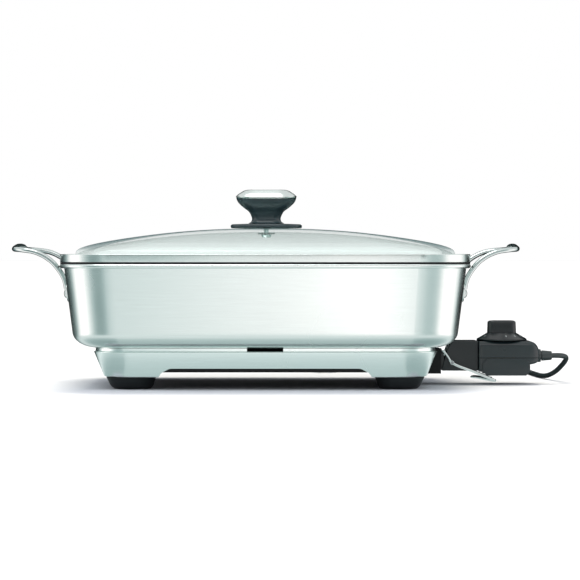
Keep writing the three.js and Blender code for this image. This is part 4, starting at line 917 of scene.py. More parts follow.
def make_plug():
    """A moulded plug: a thin sleeve that swells into a body with finger dips in its sides."""
    end = PLUG_RELIEF_LENGTH + PLUG_LENGTH
    stations = (
        (0, RELIEF_TIP, RELIEF_TIP),
        (0.8 * PLUG_RELIEF_LENGTH, RELIEF_NECK, RELIEF_NECK),
        (PLUG_RELIEF_LENGTH, 1.15 * RELIEF_NECK, 1.1 * RELIEF_NECK),
        (PLUG_RELIEF_LENGTH + PLUG_CORNER, 0.78 * PLUG_HALF_WIDTH, 0.82 * PLUG_HALF_HEIGHT),
        (PLUG_RELIEF_LENGTH + 2 * PLUG_CORNER, 0.98 * PLUG_HALF_WIDTH, 0.97 * PLUG_HALF_HEIGHT),
        (PLUG_RELIEF_LENGTH + 3.2 * PLUG_CORNER, 0.9 * PLUG_HALF_WIDTH, 0.95 * PLUG_HALF_HEIGHT),
        (PLUG_RELIEF_LENGTH + 4.6 * PLUG_CORNER, 0.93 * PLUG_HALF_WIDTH, 0.97 * PLUG_HALF_HEIGHT),
        (end - PLUG_CORNER, PLUG_HALF_WIDTH, PLUG_HALF_HEIGHT),
        (end - FIT, PLUG_HALF_WIDTH, PLUG_HALF_HEIGHT),
        (end, PLUG_HALF_WIDTH - 2 * FIT, PLUG_HALF_HEIGHT - 2 * FIT),
    )
    rows = []
    for place, half_x, half_y in stations:
        rows.append(ring(half_x, half_y, min(PLUG_CORNER, 0.85 * half_y), place))
    place = at(PROBE_BACK + PLUG_X, PLUG_Y, PLUG_HALF_HEIGHT + FIT)
    mesh = placed(loft(rows), place @ about("X"))
    return piece("moulded_plug", mesh, "probe", "black_plastic", BLACK_PLASTIC, "plug_body")


# Pan and handles
PAN_OUTLINE = (PAN_HALF_X, PAN_HALF_Y, PAN_CORNER)


def wall_x(z):
    """The wall's outer face in the middle plane."""
    return PAN_HALF_X - WALL_DRAFT * (PAN_TOP - z) / (PAN_DEPTH - BOTTOM_UP)


def bottom_curve(lift, across, up, start):
    return [(start + across * (1 - math.sin(a)), lift + up * (1 - math.cos(a))) for a in quarter_turn()]


def wall_frame(side, leg, z):
    """A frame on the end wall at a handle's leg, with +Z out of the leaning wall."""
    lean = math.atan2(WALL_DRAFT, PAN_DEPTH - BOTTOM_UP)
    place = at(side * wall_x(z), leg * HANDLE_SPREAD, z)
    return place @ about("Y", side * (QUARTER + lean))


def make_pan():
    outside = bottom_curve(PAN_LIFT, BOTTOM_ACROSS, BOTTOM_UP, WALL_DRAFT)
    bead_z = RIM_TOP - RIM_RADIUS
    bead = []
    for step in range(2 * ARC_STEPS + 1):
        angle = -QUARTER + step / (2 * ARC_STEPS) * math.pi * 1.5
        inset = RIM_RADIUS - RIM_PROUD - RIM_RADIUS * math.cos(angle)
        bead.append((inset, bead_z + RIM_RADIUS * math.sin(angle)))
    inside = bottom_curve(
        PAN_LIFT + PAN_FLOOR,
        BOTTOM_ACROSS - PAN_FLOOR + PAN_WALL,
        BOTTOM_UP - PAN_FLOOR + PAN_WALL,
        WALL_DRAFT + PAN_WALL,
    )
    under_rim = [(RIM_LEAN, PAN_TOP - RIM_LEAN_DROP), (0, PAN_TOP)]
    profile = [*outside, *under_rim, *bead, (PAN_WALL, PAN_TOP), *reversed(inside)]
    mesh = profiled(PAN_OUTLINE, profile, closed=False)
    return piece("drawn_pan", mesh, "base", "pan_steel", STEEL, "pan_shell")


def handle_path(side):
    foot = PAD_FOOT + PAD_HEIGHT * LEG_FOOT_SHARE
    start = wall_x(foot) + FIT + ROD_RADIUS
    end = PAN_HALF_X + HANDLE_REACH - ROD_RADIUS
    bend = []
    for share in GRIP_TURN_SHARES:
        angle = share * QUARTER
        x = end - HANDLE_CORNER * (1 - math.sin(angle))
        y = HANDLE_SPREAD - HANDLE_CORNER * (1 - math.cos(angle))
        bend.append((x, y, HANDLE_TOP + HANDLE_BOW * GRIP_CORNER_BOW_SHARE * share))
    leg = []
    for reach, rise in zip(LEG_REACH_SHARES, LEG_RISE_SHARES):
        x = start + (end - start) * reach
        if x < bend[0][0] - ROD_RADIUS:
            leg.append((x, HANDLE_SPREAD, foot + (HANDLE_TOP - foot) * rise))
    quarter = (end, (HANDLE_SPREAD - HANDLE_CORNER) / 2, HANDLE_TOP + HANDLE_BOW * GRIP_QUARTER_BOW_SHARE)
    half = [*leg, *bend, quarter]
    mirrored = [(x, -y, z) for x, y, z in reversed(half)]
    points = [*half, (end, 0, HANDLE_TOP + HANDLE_BOW), *mirrored]
    return smooth_path([(side * x, side * y, z) for x, y, z in points])


def make_handle(side, name):
    """A bent rod whose ends are flattened into pads for the rivets."""
    middle = PAD_FOOT + PAD_HEIGHT / 2
    pads = []
    for leg in (-1, 1):
        corner = PAD_WIDTH / 2 - FIT
        rows = []
        back = ((PAD_BACK_EDGE, 0), (0, PAD_BACK_EDGE))
        front = ((0, PAD_THICK - PAD_EDGE), (PAD_EDGE, PAD_THICK))
        for inset, z in (*back, *front):
            rows.append(ring(PAD_HEIGHT / 2 - inset, PAD_WIDTH / 2 - inset, corner - inset, FIT + z))
        pads.append(placed(loft(rows), wall_frame(side, leg, middle)))
    mesh = combined(tube(handle_path(side), ROD_RADIUS), pads, "UNION")
    return piece(f"{name}_bail", mesh, "base", "polished_steel", WIRE, f"{name}_handle")


def make_rivet(side, leg, node):
    outside = PAD_THICK + 2 * FIT
    inside = -PAN_WALL - FIT
    profile = [(NEAR_AXIS, inside - RIVET_HEAD_HEIGHT)]
    for step in range(1, 6):
        angle = step / 5 * QUARTER
        profile.append((RIVET_HEAD * math.sin(angle), inside - RIVET_HEAD_HEIGHT * math.cos(angle)))
    profile += [(RIVET_SHANK, inside), (RIVET_SHANK, outside), (0.8 * RIVET_HEAD, outside)]
    for step in range(1, 6):
        angle = step / 6 * QUARTER
        profile.append((0.8 * RIVET_HEAD * math.cos(angle), outside + RIVET_HEAD_HEIGHT * math.sin(angle)))
    profile.append((NEAR_AXIS, outside + RIVET_HEAD_HEIGHT))
    mesh = placed(turned(profile), wall_frame(side, leg, PAD_FOOT + RIVET_RISE))
    return piece(f"{node}_domed", mesh, "base", "polished_steel", WIRE, node)


# Lid
BAND_OUTLINE = (PAN_HALF_X + BAND_PROUD, PAN_HALF_Y + BAND_PROUD, PAN_CORNER + BAND_PROUD * CORNER_KEEP_SHARE)


def make_band():
    lip = BAND_TOP - BAND_SHEET
    plate = BAND_LOW + BAND_SHEET
    edge = softened([(BAND_STEP, BAND_LOW), (0, BAND_LOW), (0, BAND_TOP), (LIP_REACH, BAND_TOP)], BAND_EDGE)
    profile = pairs(edge)
    profile += [
        (LIP_REACH, lip),
        (BAND_SHEET, lip),
        (BAND_SHEET, plate),
        (FLANGE_INSET + BAND_SHEET, plate),
        (FLANGE_INSET + BAND_SHEET, SEAT_LOW - FLANGE_DROP),
        (FLANGE_INSET, SEAT_LOW - FLANGE_DROP),
        (FLANGE_INSET, SEAT_LOW),
        (BAND_STEP, SEAT_LOW),
    ]
    mesh = profiled(BAND_OUTLINE, profile)
    return piece("lid_band", mesh, "lid", "pan_steel", BAND_STEEL, "lid_rim")


def make_gasket():
    low = BAND_LOW + BAND_SHEET + FIT
    high = low + GASKET_THICK
    outer = BAND_SHEET + FIT
    mesh = profiled(BAND_OUTLINE, [(outer, low), (outer, high), (FLANGE_INSET, high), (FLANGE_INSET, low)])
    return piece("seal_ring", mesh, "lid", "silicone", SILICONE, "lid_gasket")


def make_gap_shade_lip():
    """A near-black ring set in the gap between the band and the rolled rim: painted shade standing for the shadow in
    that gap.
    """
    high = BAND_LOW - LIP_GAP
    low = RIM_TOP - LIP_DROP
    inner = BAND_STEP - LIP_GAP
    section = [(LIP_GAP, high), (LIP_GAP, low), (FIT, low), (inner, RIM_TOP + FIT), (inner, high)]
    mesh = profiled(BAND_OUTLINE, section)
    return piece("gap_shade_lip", mesh, "lid", "silicone", GAP_SHADE_BLACK)


def dome_height(share):
    return BAND_TOP + DOME_START + DOME_RISE * (1 - share**2) ** DOME_POWER_SHARE


def dome_ring(share, drop=0.0):
    """An outline that turns from a rounded box at the foot to an ellipse at the crown."""
    half_x, half_y, _ = BAND_OUTLINE
    half_x -= DOME_INSET
    half_y -= DOME_INSET
    points = []
    for point in inset_ring(BAND_OUTLINE, DOME_INSET, 0):
        angle = math.atan2(point.y / half_y, point.x / half_x)
        keep = share**DOME_SQUARE_POWER
        x = point.x * keep + half_x * math.cos(angle) * (1 - keep)
        y = point.y * keep + half_y * math.sin(angle) * (1 - keep)
        points.append(Vector((share * x, share * y, dome_height(share) - drop)))
    return points


def make_glass():
    low = BAND_LOW + BAND_SHEET + 2 * FIT + GASKET_THICK
    high = min(low + GLASS_THICK, BAND_TOP - BAND_SHEET - FIT)
    shares = [math.cos(step / 22 * QUARTER) for step in range(22)]
    hole = KNOB_SCREW_RADIUS + FIT
    half_x = BAND_OUTLINE[0]
    shares.append(1.6 * hole / half_x)
    under = [dome_ring(share, GLASS_THICK) for share in reversed(shares[1:])]
    over = [dome_ring(share) for share in shares]
    edge = GLASS_EDGE_INSET
    rows = [
        *under,
        inset_ring(BAND_OUTLINE, DOME_INSET + 0.6 * GLASS_THICK, low),
        inset_ring(BAND_OUTLINE, edge + FIT, low),
        inset_ring(BAND_OUTLINE, edge, low + FIT),
        inset_ring(BAND_OUTLINE, edge, high - FIT),
        inset_ring(BAND_OUTLINE, edge + FIT, high),
        inset_ring(BAND_OUTLINE, DOME_INSET - FIT, high),
        *over,
    ]
    mesh = loft(rows, closed=True)
    made = piece("dome_glass", mesh, "lid", "lid_glass", GLASS, "lid_glass")
    made.data.materials.append(GLASS_INNER)
    inner = (len(under) - 1) * len(under[0])
    for polygon in made.data.polygons[:inner]:
        polygon.material_index = 1


def knob_ring(share, z, lift):
    half_x = KNOB_NECK_LENGTH / 2 + (KNOB_HEAD_LENGTH - KNOB_NECK_LENGTH) / 2 * share
    half_y = KNOB_NECK_WIDTH / 2 + (KNOB_HEAD_WIDTH - KNOB_NECK_WIDTH) / 2 * share
    points = ring(half_x, half_y, half_y * KNOB_CORNER_SHARE, z)
    for point in points:
        point.z += lift * (point.x / half_x) ** 2
    return points


def make_knob_base():
    half_x = KNOB_BASE_LENGTH / 2
    half_y = KNOB_BASE_WIDTH / 2
    height = KNOB_BASE_HIGH - KNOB_BASE_LOW
    edge = KNOB_BASE_EDGE / height
    stations = ((0.965, 0), (0.99, 0.1), (1, 0.4), (0.995, 0.7), (0.97, 0.92), (0.93, 1))
    rows = []
    for share, rise in (*((share, part * edge) for share, part in stations), (0.5, 1)):
        rows.append(ring(half_x * share, half_y * share, half_y * share * 0.9, KNOB_BASE_LOW + height * rise))
    notch_half = KNOB_NOTCH_WIDTH / 2
    notch = block(
        (-notch_half, -half_y - FIT, KNOB_BASE_LOW - FIT),
        (notch_half, -0.6 * half_y, KNOB_BASE_LOW + KNOB_NOTCH_HEIGHT),
    )
    return piece("knob_flange", combined(loft(rows), [notch]), "lid", "knob_plastic", KNOB_PLASTIC, "knob_base")


def make_knob_body():
    low = KNOB_BASE_HIGH + FIT
    stations = smooth_path([(rise, flare, 0) for rise, flare in zip(KNOB_HEIGHT_SHARES, KNOB_FLARE_SHARES)], 4)
    rows = []
    for rise, flare, _ in stations:
        z = low + (KNOB_BODY_HEIGHT - KNOB_CAP_SADDLE) * rise
        rows.append(knob_ring(flare, z, KNOB_CAP_SADDLE * rise**3))
    return piece("knob_stem", loft(rows), "lid", "knob_plastic", KNOB_PLASTIC, "knob_body")


def make_knob_cap():
    low = KNOB_BASE_HIGH + 2 * FIT + KNOB_BODY_HEIGHT - KNOB_CAP_SADDLE
    corners = zip(CAP_RISE_SHARES, CAP_FLARE_SHARES, CAP_SADDLE_SHARES)
    rows = [knob_ring(CAP_FLARE_SHARES[0] - CAP_START_INSET, low, KNOB_CAP_SADDLE)]
    for rise, flare, saddle in smooth_path(list(corners), 4):
        rows.append(knob_ring(flare, low + FIT + (KNOB_CAP_HEIGHT - FIT) * rise, KNOB_CAP_SADDLE * saddle))
    return piece("knob_top", loft(rows), "lid", "polished_steel", CAP_STEEL, "knob_cap")


# Base
SKIRT_OUTLINE = (PAN_HALF_X - SKIRT_INSET, PAN_HALF_Y - SKIRT_INSET, PAN_CORNER - SKIRT_INSET * CORNER_KEEP_SHARE)


def arch(half, length):
    outline = softened([
        (-half, -ARCH_BELOW),
        (half, -ARCH_BELOW),
        (half, SKIRT_LOW),
        (half - ARCH_SHOULDER_INSET, ARCH_SHOULDER),
        (half - ARCH_TOP_INSET, ARCH_TOP),
        (ARCH_TOP_INSET - half, ARCH_TOP),
        (ARCH_SHOULDER_INSET - half, ARCH_SHOULDER),
        (-half, SKIRT_LOW),
    ], ARCH_EDGE, closed=True)
    return slab(pairs(outline), length)


def make_skirt():
    foot = SKIRT_LOW + SKIRT_HEM
    top = PAN_LIFT - FIT
    outer = softened([
        (SKIRT_HEM_INSET, SKIRT_LOW),
        (SKIRT_DRAFT, foot),
        (0, SKIRT_TOP),
        (LEDGE_INSET, SKIRT_TOP + FIT),
        (LEDGE_INSET, top),
    ], SKIRT_EDGE)
    profile = pairs(outer)
    profile += [
        (LEDGE_INSET + SKIRT_SHEET, top),
        (LEDGE_INSET + SKIRT_SHEET, SKIRT_TOP - SKIRT_SHEET),
        (SKIRT_DRAFT + SKIRT_SHEET, foot),
        (SKIRT_HEM_INSET + SKIRT_SHEET, SKIRT_LOW),
    ]
    wall = profiled(SKIRT_OUTLINE, profile)
    far = 2 * PAN_HALF_X
    slot = block((-SLOT_HALF, -far, PAN_LIFT - SLOT_DROP), (SLOT_HALF, 0, PAN_LIFT + FIT))
    side_arch = placed(arch(ARCH_SIDE_HALF, PAN_HALF_X / 2), about("Z"))
    side_arch = placed(side_arch, at(-PAN_HALF_X, 0, 0))
    room = SHROUD_HALF_WIDTH + FIT
    socket = block((0, -room, -FIT), (far, room, SHROUD_HIGH + FIT))
    arches = [side_arch]
    for side_y, half in ((-1, ARCH_HALF), (1, ARCH_REAR_HALF)):
        reach = PAN_HALF_Y / 2
        arches.append(placed(arch(half, reach), at(0, side_y * reach, 0)))
    mesh = combined(wall, [*arches, slot, socket])
    return piece("pressed_skirt", mesh, "base", "pan_steel", SKIRT_STEEL_PAINTED_LIGHT_AND_SHADE, "base_skirt")


def make_foot(side_x, side_y, node):
    low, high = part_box(node)
    centre_x = side_x * (SKIRT_OUTLINE[0] - SKIRT_DRAFT - FOOT_INSET - FOOT_LENGTH / 2)
    centre_y = side_y * (SKIRT_OUTLINE[1] - SKIRT_DRAFT - FOOT_INSET - FOOT_LENGTH / 2)
    half = FOOT_LENGTH / 2
    short, ease = (FOOT_REAR_TRIM / 2, FOOT_REAR_EASE / 2) if side_y > 0 else (0, 0)
    rows = []
    for share, z, trim in (
        (1, 0, 0),
        (0.87, 0.05 * FOOT_HEIGHT, 0),
        (0.76, 0.1 * FOOT_HEIGHT, 0),
        (0.57, 0.22 * FOOT_HEIGHT, 0),
        (0.42, 0.36 * FOOT_HEIGHT, 0),
        (0, FOOT_HEIGHT - FOOT_EDGE, 0),
        (0, FOOT_HEIGHT, FOOT_EDGE),
    ):
        outer = FOOT_TAPER * share
        inner = FOOT_INNER_TAPER * share
        now = half - (outer + inner) / 2 - trim
        half_x = now - (short + ease)
        shift = (outer - inner) / 2
        centre = (centre_x + side_x * (short - ease - shift), centre_y - side_y * shift)
        rows.append(ring(half_x, now, min(now * FOOT_CORNER_SHARE, half_x * FOOT_REAR_CORNER_SHARE), z, centre))
    inside = half - FOOT_NECK_INSET
    for z in (FOOT_HEIGHT, high.z):
        rows.append(ring(inside, inside, inside * FOOT_CORNER_SHARE, z, (centre_x, centre_y)))
    sink = placed(turned([
        (SCREW_HEAD + FIT, -OVERRUN / 2),
        (SCREW_HEAD + FIT, FOOT_SINK),
        (SCREW_RADIUS + FIT, FOOT_SINK),
        (SCREW_RADIUS + FIT, high.z + OVERRUN / 2),
    ]), at(centre_x, centre_y, 0))
    return piece(f"{node}_pad", combined(loft(rows), [sink]), "base", "foot_rubber", FOOT_RUBBER, node)


def terminal_bores(pin_radius, rod_radius, start, end):
    pins = [bore(pin_radius, start, end, y, TERMINAL_Z) for y in (-TERMINAL_SPREAD, TERMINAL_SPREAD)]
    return [*pins, bore(rod_radius, start, end)]


def make_shroud():
    half = SHROUD_HALF_WIDTH
    back, mouth, low, high = SHROUD_BACK, SHROUD_MOUTH, SHROUD_LOW, SHROUD_HIGH
    outline = [(back, low), (mouth, low), (mouth, high), (back, high)]
    inside = half - SHROUD_WALL
    room = block(
        (SHROUD_BACK + SHROUD_WALL, -inside, SHROUD_LOW + SHROUD_WALL),
        (SHROUD_MOUTH + OVERRUN, inside, SHROUD_HIGH - SHROUD_WALL),
    )
    holes = terminal_bores(PIN_BORE, ROD_BORE, SHROUD_BACK - OVERRUN, SHROUD_BACK + 3 * OVERRUN)
    mesh = combined(slab(outline, half, SOFT_EDGE), [room, *holes])
    return piece("socket_shroud", mesh, "base", "black_plastic", BLACK_PLASTIC, "terminal_shroud")


# Probe
def make_neck():
    front = SHROUD_MOUTH + FIT
    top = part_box("probe_neck")[1].z
    outline = softened([
        (front, NECK_LOW),
        (NECK_BACK, NECK_LOW),
        (NECK_BACK, top),
        (front + NECK_TOP_SHOULDER + NECK_CHAMFER, top),
        (front + NECK_TOP_SHOULDER, top - NECK_TOP_SHOULDER),
    ], NECK_EDGE, closed=True)
    body = slab(pairs(outline), NECK_HALF_WIDTH, NECK_SIDE_EDGE)
    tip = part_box("probe_neck")[0].x - PAN_X
    half = SHROUD_HALF_WIDTH - SHROUD_WALL - NOSE_ROOM
    gap = SHROUD_WALL + NOSE_ROOM
    nose = block((tip, -half, SHROUD_LOW + gap), (front + NOSE_OVERLAP, half, SHROUD_HIGH - gap))
    inside = NECK_HALF_WIDTH - NECK_WALL
    room = block(
        (LEVER_X + LEVER_ROOM, -inside, NECK_LOW + NECK_WALL),
        (NECK_BACK + OVERRUN, inside, top - NECK_WALL),
    )
    holes = terminal_bores(RECEPTACLE_BORE, SENSOR_BORE, tip - OVERRUN, NECK_BACK)
    for side in (-1, 1):
        pivot = placed(turned([(LEVER_BORE, -PIVOT_DEPTH), (LEVER_BORE, PIVOT_DEPTH)]), about("X"))
        holes.append(placed(pivot, at(LEVER_X, side * (NECK_HALF_WIDTH + PIVOT_SHIFT), LEVER_Z)))
    mesh = combined(combined(body, [nose], "UNION"), [room, *holes])
    return piece("probe_throat", mesh, "probe", "probe_plastic", NECK_PLASTIC, "probe_neck")


def rounded_section(x, half_width, low, high, radius_low, radius_high):
    """A section across X with its upper and lower corners rounded."""
    points = []
    for quarter, side in enumerate((1, -1, -1, 1)):
        z, radius = (high, radius_high) if quarter < 2 else (low, radius_low)
        middle_y = side * (half_width - radius)
        middle_z = z - radius if quarter < 2 else z + radius
        for step in range(ARC_STEPS + 1):
            angle = (quarter + step / ARC_STEPS) * QUARTER
            points.append((x, middle_y + radius * math.cos(angle), middle_z + radius * math.sin(angle)))
    return points


def back_round(x, radius):
    """How far a quarter round at the probe's back draws in at x."""
    into = max(0.0, x - (PROBE_BACK - radius))
    return radius - math.sqrt(max(0.0, radius**2 - into**2))


def probe_stations(start):
    """Places along the housing, closer together where its back rounds off."""
    flat = [start, *(start + place for place in HOUSING_LEAD_PLACES), PROBE_BACK - UNDER_RUNS[0]]
    middle = PROBE_BACK - PROBE_BACK_ROUND
    return flat + [middle + PROBE_BACK_ROUND * math.sin(angle) for angle in quarter_turn(2 * ARC_STEPS)]


def make_upper_housing():
    start = NECK_BACK + FIT
    split = PROBE_SPLIT + FIT / 2
    rows = []
    for x in probe_stations(start):
        lead = HOUSING_LEAD if x == start else 0.0
        half = PROBE_HALF_WIDTH - BACK_DRAW_SHARE * back_round(x, PROBE_BACK_ROUND) - lead
        high = PROBE_TOP - back_round(x, PROBE_BACK_TOP) - lead
        radius = min(PROBE_EDGE, (high - split) / 2 - FIT)
        rows.append(rounded_section(x, half, split, high, FIT, radius))
    inside = PROBE_HALF_WIDTH - HOUSING_WALL
    side = inside - HOUSING_ROOM_INSET
    room = block(
        (start + HOUSING_WALL, -side, split - OVERRUN),
        (PROBE_BACK - HOUSING_ROOM_BACK, side, PROBE_TOP - HOUSING_WALL),
    )
    through = [(SPINDLE_ROOM, PROBE_TOP - 2 * OVERRUN), (SPINDLE_ROOM, PROBE_TOP + OVERRUN)]
    spindle = placed(turned(through), at(DIAL_X, 0, 0))
    exit_bore = bore(EXIT_RADIUS, PROBE_BACK - EXIT_DEPTH, PROBE_BACK + OVERRUN)
    mesh = combined(loft(rows), [room, spindle, exit_bore])
    return piece("probe_cover", mesh, "probe", "probe_plastic", PROBE_PLASTIC, "probe_upper_housing")


def make_lower_housing():
    start = NECK_BACK + FIT
    split = PROBE_SPLIT - FIT / 2
    rows = []
    run_start = PROBE_BACK - UNDER_RUNS[0]
    under = smooth_path([(PROBE_BACK - run, PROBE_LOW + rise, 0) for run, rise in zip(UNDER_RUNS, UNDER_RISES)])
    flat = [(start + place, PROBE_LOW) for place in (0, *HOUSING_LEAD_PLACES)]
    for x, low in [*flat, *pairs(under)]:
        lead = HOUSING_LEAD if x == start else 0.0
        half = PROBE_HALF_WIDTH - BACK_DRAW_SHARE * back_round(x, PROBE_BACK_ROUND) - lead
        low += lead
        radius = min(UNDER_EDGE, (split - low) / 2 - FIT)
        rows.append(rounded_section(x, half, low, split, radius, FIT))
    inside = PROBE_HALF_WIDTH - HOUSING_WALL
    room = block((start + HOUSING_WALL, -inside, PROBE_LOW + HOUSING_WALL), (run_start, inside, split + OVERRUN))
    exit_bore = bore(EXIT_RADIUS, PROBE_BACK - EXIT_DEPTH, PROBE_BACK + OVERRUN)
    mesh = combined(loft(rows), [room, exit_bore])
    mesh = joined(mesh, cheek(-1), cheek(1))
    return piece("probe_tub", mesh, "probe", "probe_plastic", PROBE_PLASTIC, "probe_lower_housing")


def cheek(side):
    """A raised grip panel with a rounded top on one side of the housing."""
    r = CHEEK_CORNER
    outline = [
        (CHEEK_FRONT, CHEEK_LOW + r / 2),
        (CHEEK_FRONT + r / 2, CHEEK_LOW),
        (CHEEK_BACK - r / 2, CHEEK_LOW),
        (CHEEK_BACK, CHEEK_LOW + r / 2),
    ]
    for first, middle in ((0, CHEEK_BACK - r), (1, CHEEK_FRONT + r)):
        for angle in quarter_turn(first=first):
            outline.append((middle + r * math.cos(angle), CHEEK_HIGH - r + r * math.sin(angle)))
    mesh = slab(outline, CHEEK_THICK / 2, CHEEK_EDGE)
    return placed(mesh, at(0, side * (PROBE_HALF_WIDTH + CHEEK_PROUD - CHEEK_THICK / 2), 0))


def make_dial():
    low = DIAL_LOW
    cone_top = low + DIAL_CONE_HEIGHT
    profile = softened([
        (DIAL_BORE, low, 0),
        (DIAL_RADIUS - DIAL_EDGE, low, 0),
        (DIAL_RADIUS, low + DIAL_EDGE, 0),
        (DIAL_RADIUS, low + DIAL_RIM, 0),
        (DIAL_CONE_TOP, cone_top, 0),
        (DIAL_BORE, cone_top, 0),
    ], DIAL_SOFTENING)
    cone = turned(pairs(profile))
    half_x = DIAL_GRIP_LENGTH / 2
    half_y = DIAL_GRIP_WIDTH / 2
    grip_top = cone_top + DIAL_GRIP_HEIGHT
    rows = []
    for inset, z in (
        (0, cone_top - DIAL_CONE_HEIGHT / 2),
        (DIAL_GRIP_TAPER / 2, grip_top - 2 * DIAL_CROWN),
        (0.7 * DIAL_GRIP_TAPER, grip_top - 1.5 * DIAL_CROWN),
        (DIAL_GRIP_TAPER, grip_top - DIAL_CROWN),
        (1.7 * DIAL_GRIP_TAPER, grip_top - 0.5 * DIAL_CROWN),
        (3 * DIAL_GRIP_TAPER, grip_top - 0.15 * DIAL_CROWN),
        (5 * DIAL_GRIP_TAPER, grip_top),
    ):
        rows.append(ring(half_x - inset, half_y - inset, min(DIAL_GRIP_CORNER, 0.9 * (half_y - inset)), z))
    mesh = placed(combined(cone, [loft(rows)], "UNION"), at(DIAL_X, 0, 0))
    return piece("dial_knob", mesh, "dial", "probe_plastic", DIAL_PLASTIC, "temperature_dial")


def make_dial_marks():
    """Short printed dashes round the cone, one for each setting."""
    slope = math.atan2(DIAL_CONE_HEIGHT - DIAL_RIM, DIAL_RADIUS - DIAL_CONE_TOP)
    middle = (DIAL_RADIUS + DIAL_CONE_TOP) / 2
    z = DIAL_LOW + (DIAL_CONE_HEIGHT + DIAL_RIM) / 2
    marks = []
    for i in range(DIAL_MARKS):
        angle = -QUARTER + DIAL_FIRST_MARK + DIAL_TURN * i / (DIAL_MARKS - 1)
        corner = Vector((MARK_LENGTH, MARK_WIDTH, MARK_THICK)) / 2
        mark = block(-corner, corner)
        place = at(DIAL_X, 0, z) @ about("Z", angle)
        marks.append(placed(mark, place @ at(middle, 0, 0) @ about("Y", slope)))
    return piece("dial_marks", joined(*marks), "dial", "probe_plastic", MARK_PAINT)


def lever_points():
    start, end = LEVER_CURL_SHARES
    near_crown = -LEVER_END_DROP + WIRE_RADIUS / 2
    crown_height = -LEVER_END_DROP + 2 * WIRE_RADIUS
    half = [
        (-LEVER_TIP_BACK, LEVER_SPREAD, LEVER_TIP_RISE),
        (-LEVER_TIP_BACK / 2, LEVER_SPREAD, LEVER_TIP_RISE / 2),
        (0, LEVER_SPREAD, 0),
        (LEVER_END_REACH / 2, LEVER_SPREAD, -LEVER_END_DROP / 2),
        (LEVER_END_REACH - WIRE_RADIUS, LEVER_SPREAD, -LEVER_END_DROP + WIRE_RADIUS / 2),
        (LEVER_END_REACH, LEVER_SPREAD - 2 * WIRE_RADIUS, -LEVER_END_DROP),
        (LEVER_END_REACH - LEVER_CURL_BACK * start, LEVER_SPREAD - 7 * WIRE_RADIUS, near_crown),
        (LEVER_END_REACH - LEVER_CURL_BACK * end, LEVER_SPREAD / 3, crown_height),
    ]
    crown = (LEVER_END_REACH - LEVER_CURL_BACK, 0, crown_height)
    return [*half, crown, *((x, -y, z) for x, y, z in reversed(half))]


def make_lever():
    wire = tube(smooth_path(lever_points()), WIRE_RADIUS, 12)
    eyes = []
    for side in (-1, 1):
        inner, outer = LEVER_SPREAD - WIRE_RADIUS, LEVER_SPREAD + WIRE_RADIUS
        corners = ((LEVER_BORE, inner), (LEVER_EYE, inner), (LEVER_EYE, outer), (LEVER_BORE, outer))
        profile = softened([(x, z, 0) for x, z in corners], EYE_EDGE, closed=True)
        eye = turned(pairs(profile), closed=True)
        eyes.append(placed(eye, about("X", -side * QUARTER)))
    mesh = placed(joined(wire, *eyes), at(LEVER_X, 0, LEVER_Z))
    return piece("wire_lever", mesh, "lever", "polished_steel", CHROME, "release_lever")


# Finishes on the CAD solids that keep their own shape
CAD_FINISHES = (
    (HEAT_SPREADER_SHADE, "heat_spreader"),
    (ALUMINIUM, "probe_sleeve"),
    (BLACK_PLASTIC, "base_tray"),
    (NYLON, "knob_washer"),
    (CERAMIC, "thermostat_block"),
    (POLISHED, "knob_screw", "sensor_rod", "release_spring"),
    (BRASS, "front_terminal_pin", "rear_terminal_pin", "front_receptacle", "rear_receptacle"),
    (BRASS, "contact_blade", "plug_left_pin", "plug_right_pin"),
    (DARK_STEEL, "heating_element", "front_left_foot_screw", "front_right_foot_screw"),
    (DARK_STEEL, "rear_left_foot_screw", "rear_right_foot_screw", "front_tray_bolt", "rear_tray_bolt"),
    (DARK_STEEL, "front_lever_pin", "rear_lever_pin", "front_housing_screw", "rear_housing_screw", "dial_spindle"),
)


def finish_cad_nodes():
    for material, *names in CAD_FINISHES:
        for name in names:
            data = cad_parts[name].data
            data.materials.clear()
            data.materials.append(material)


# Studio
def key_light():
    data = bpy.data.lights.new("key", "AREA")
    data.shape = "RECTANGLE"
    data.size, data.size_y = KEY_SIZE
    data.energy = KEY_POWER
    light = added("key", data)
    light.location = KEY_PLACE
    aim = Vector(KEY_AIM) - Vector(KEY_PLACE)
    light.rotation_euler = aim.to_track_quat("-Z", "Y").to_euler()
    light.visible_camera = False


def glow(name, level):
    """Plain light of one level, as from a lit or shaded studio card; shaded ones are a little cooler."""
    material = bpy.data.materials.new(name)
    material.use_nodes = True
    surface = material.node_tree.nodes["Principled BSDF"]
    surface.inputs["Base Color"].default_value = (0, 0, 0, 1)
    surface.inputs["Specular IOR Level"].default_value = 0
    red = min(WARMEST, 1 - CARD_COOLING * (1 - level))
    surface.inputs["Emission Color"].default_value = (red, 1, 1, 1)
    surface.inputs["Emission Strength"].default_value = level
    return material


def card(name, faces, material):
    """A studio card that only shows in reflections."""
    mesh = bmesh.new()
    for face in faces:
        mesh.faces.new([mesh.verts.new(point) for point in face])
    data = bpy.data.meshes.new(name)
    mesh.to_mesh(data)
    mesh.free()
    data.materials.append(material)
    made = added(name, data)
    made.visible_camera = False
    made.visible_diffuse = False
    made.visible_transmission = False
    made.visible_shadow = False
    return made


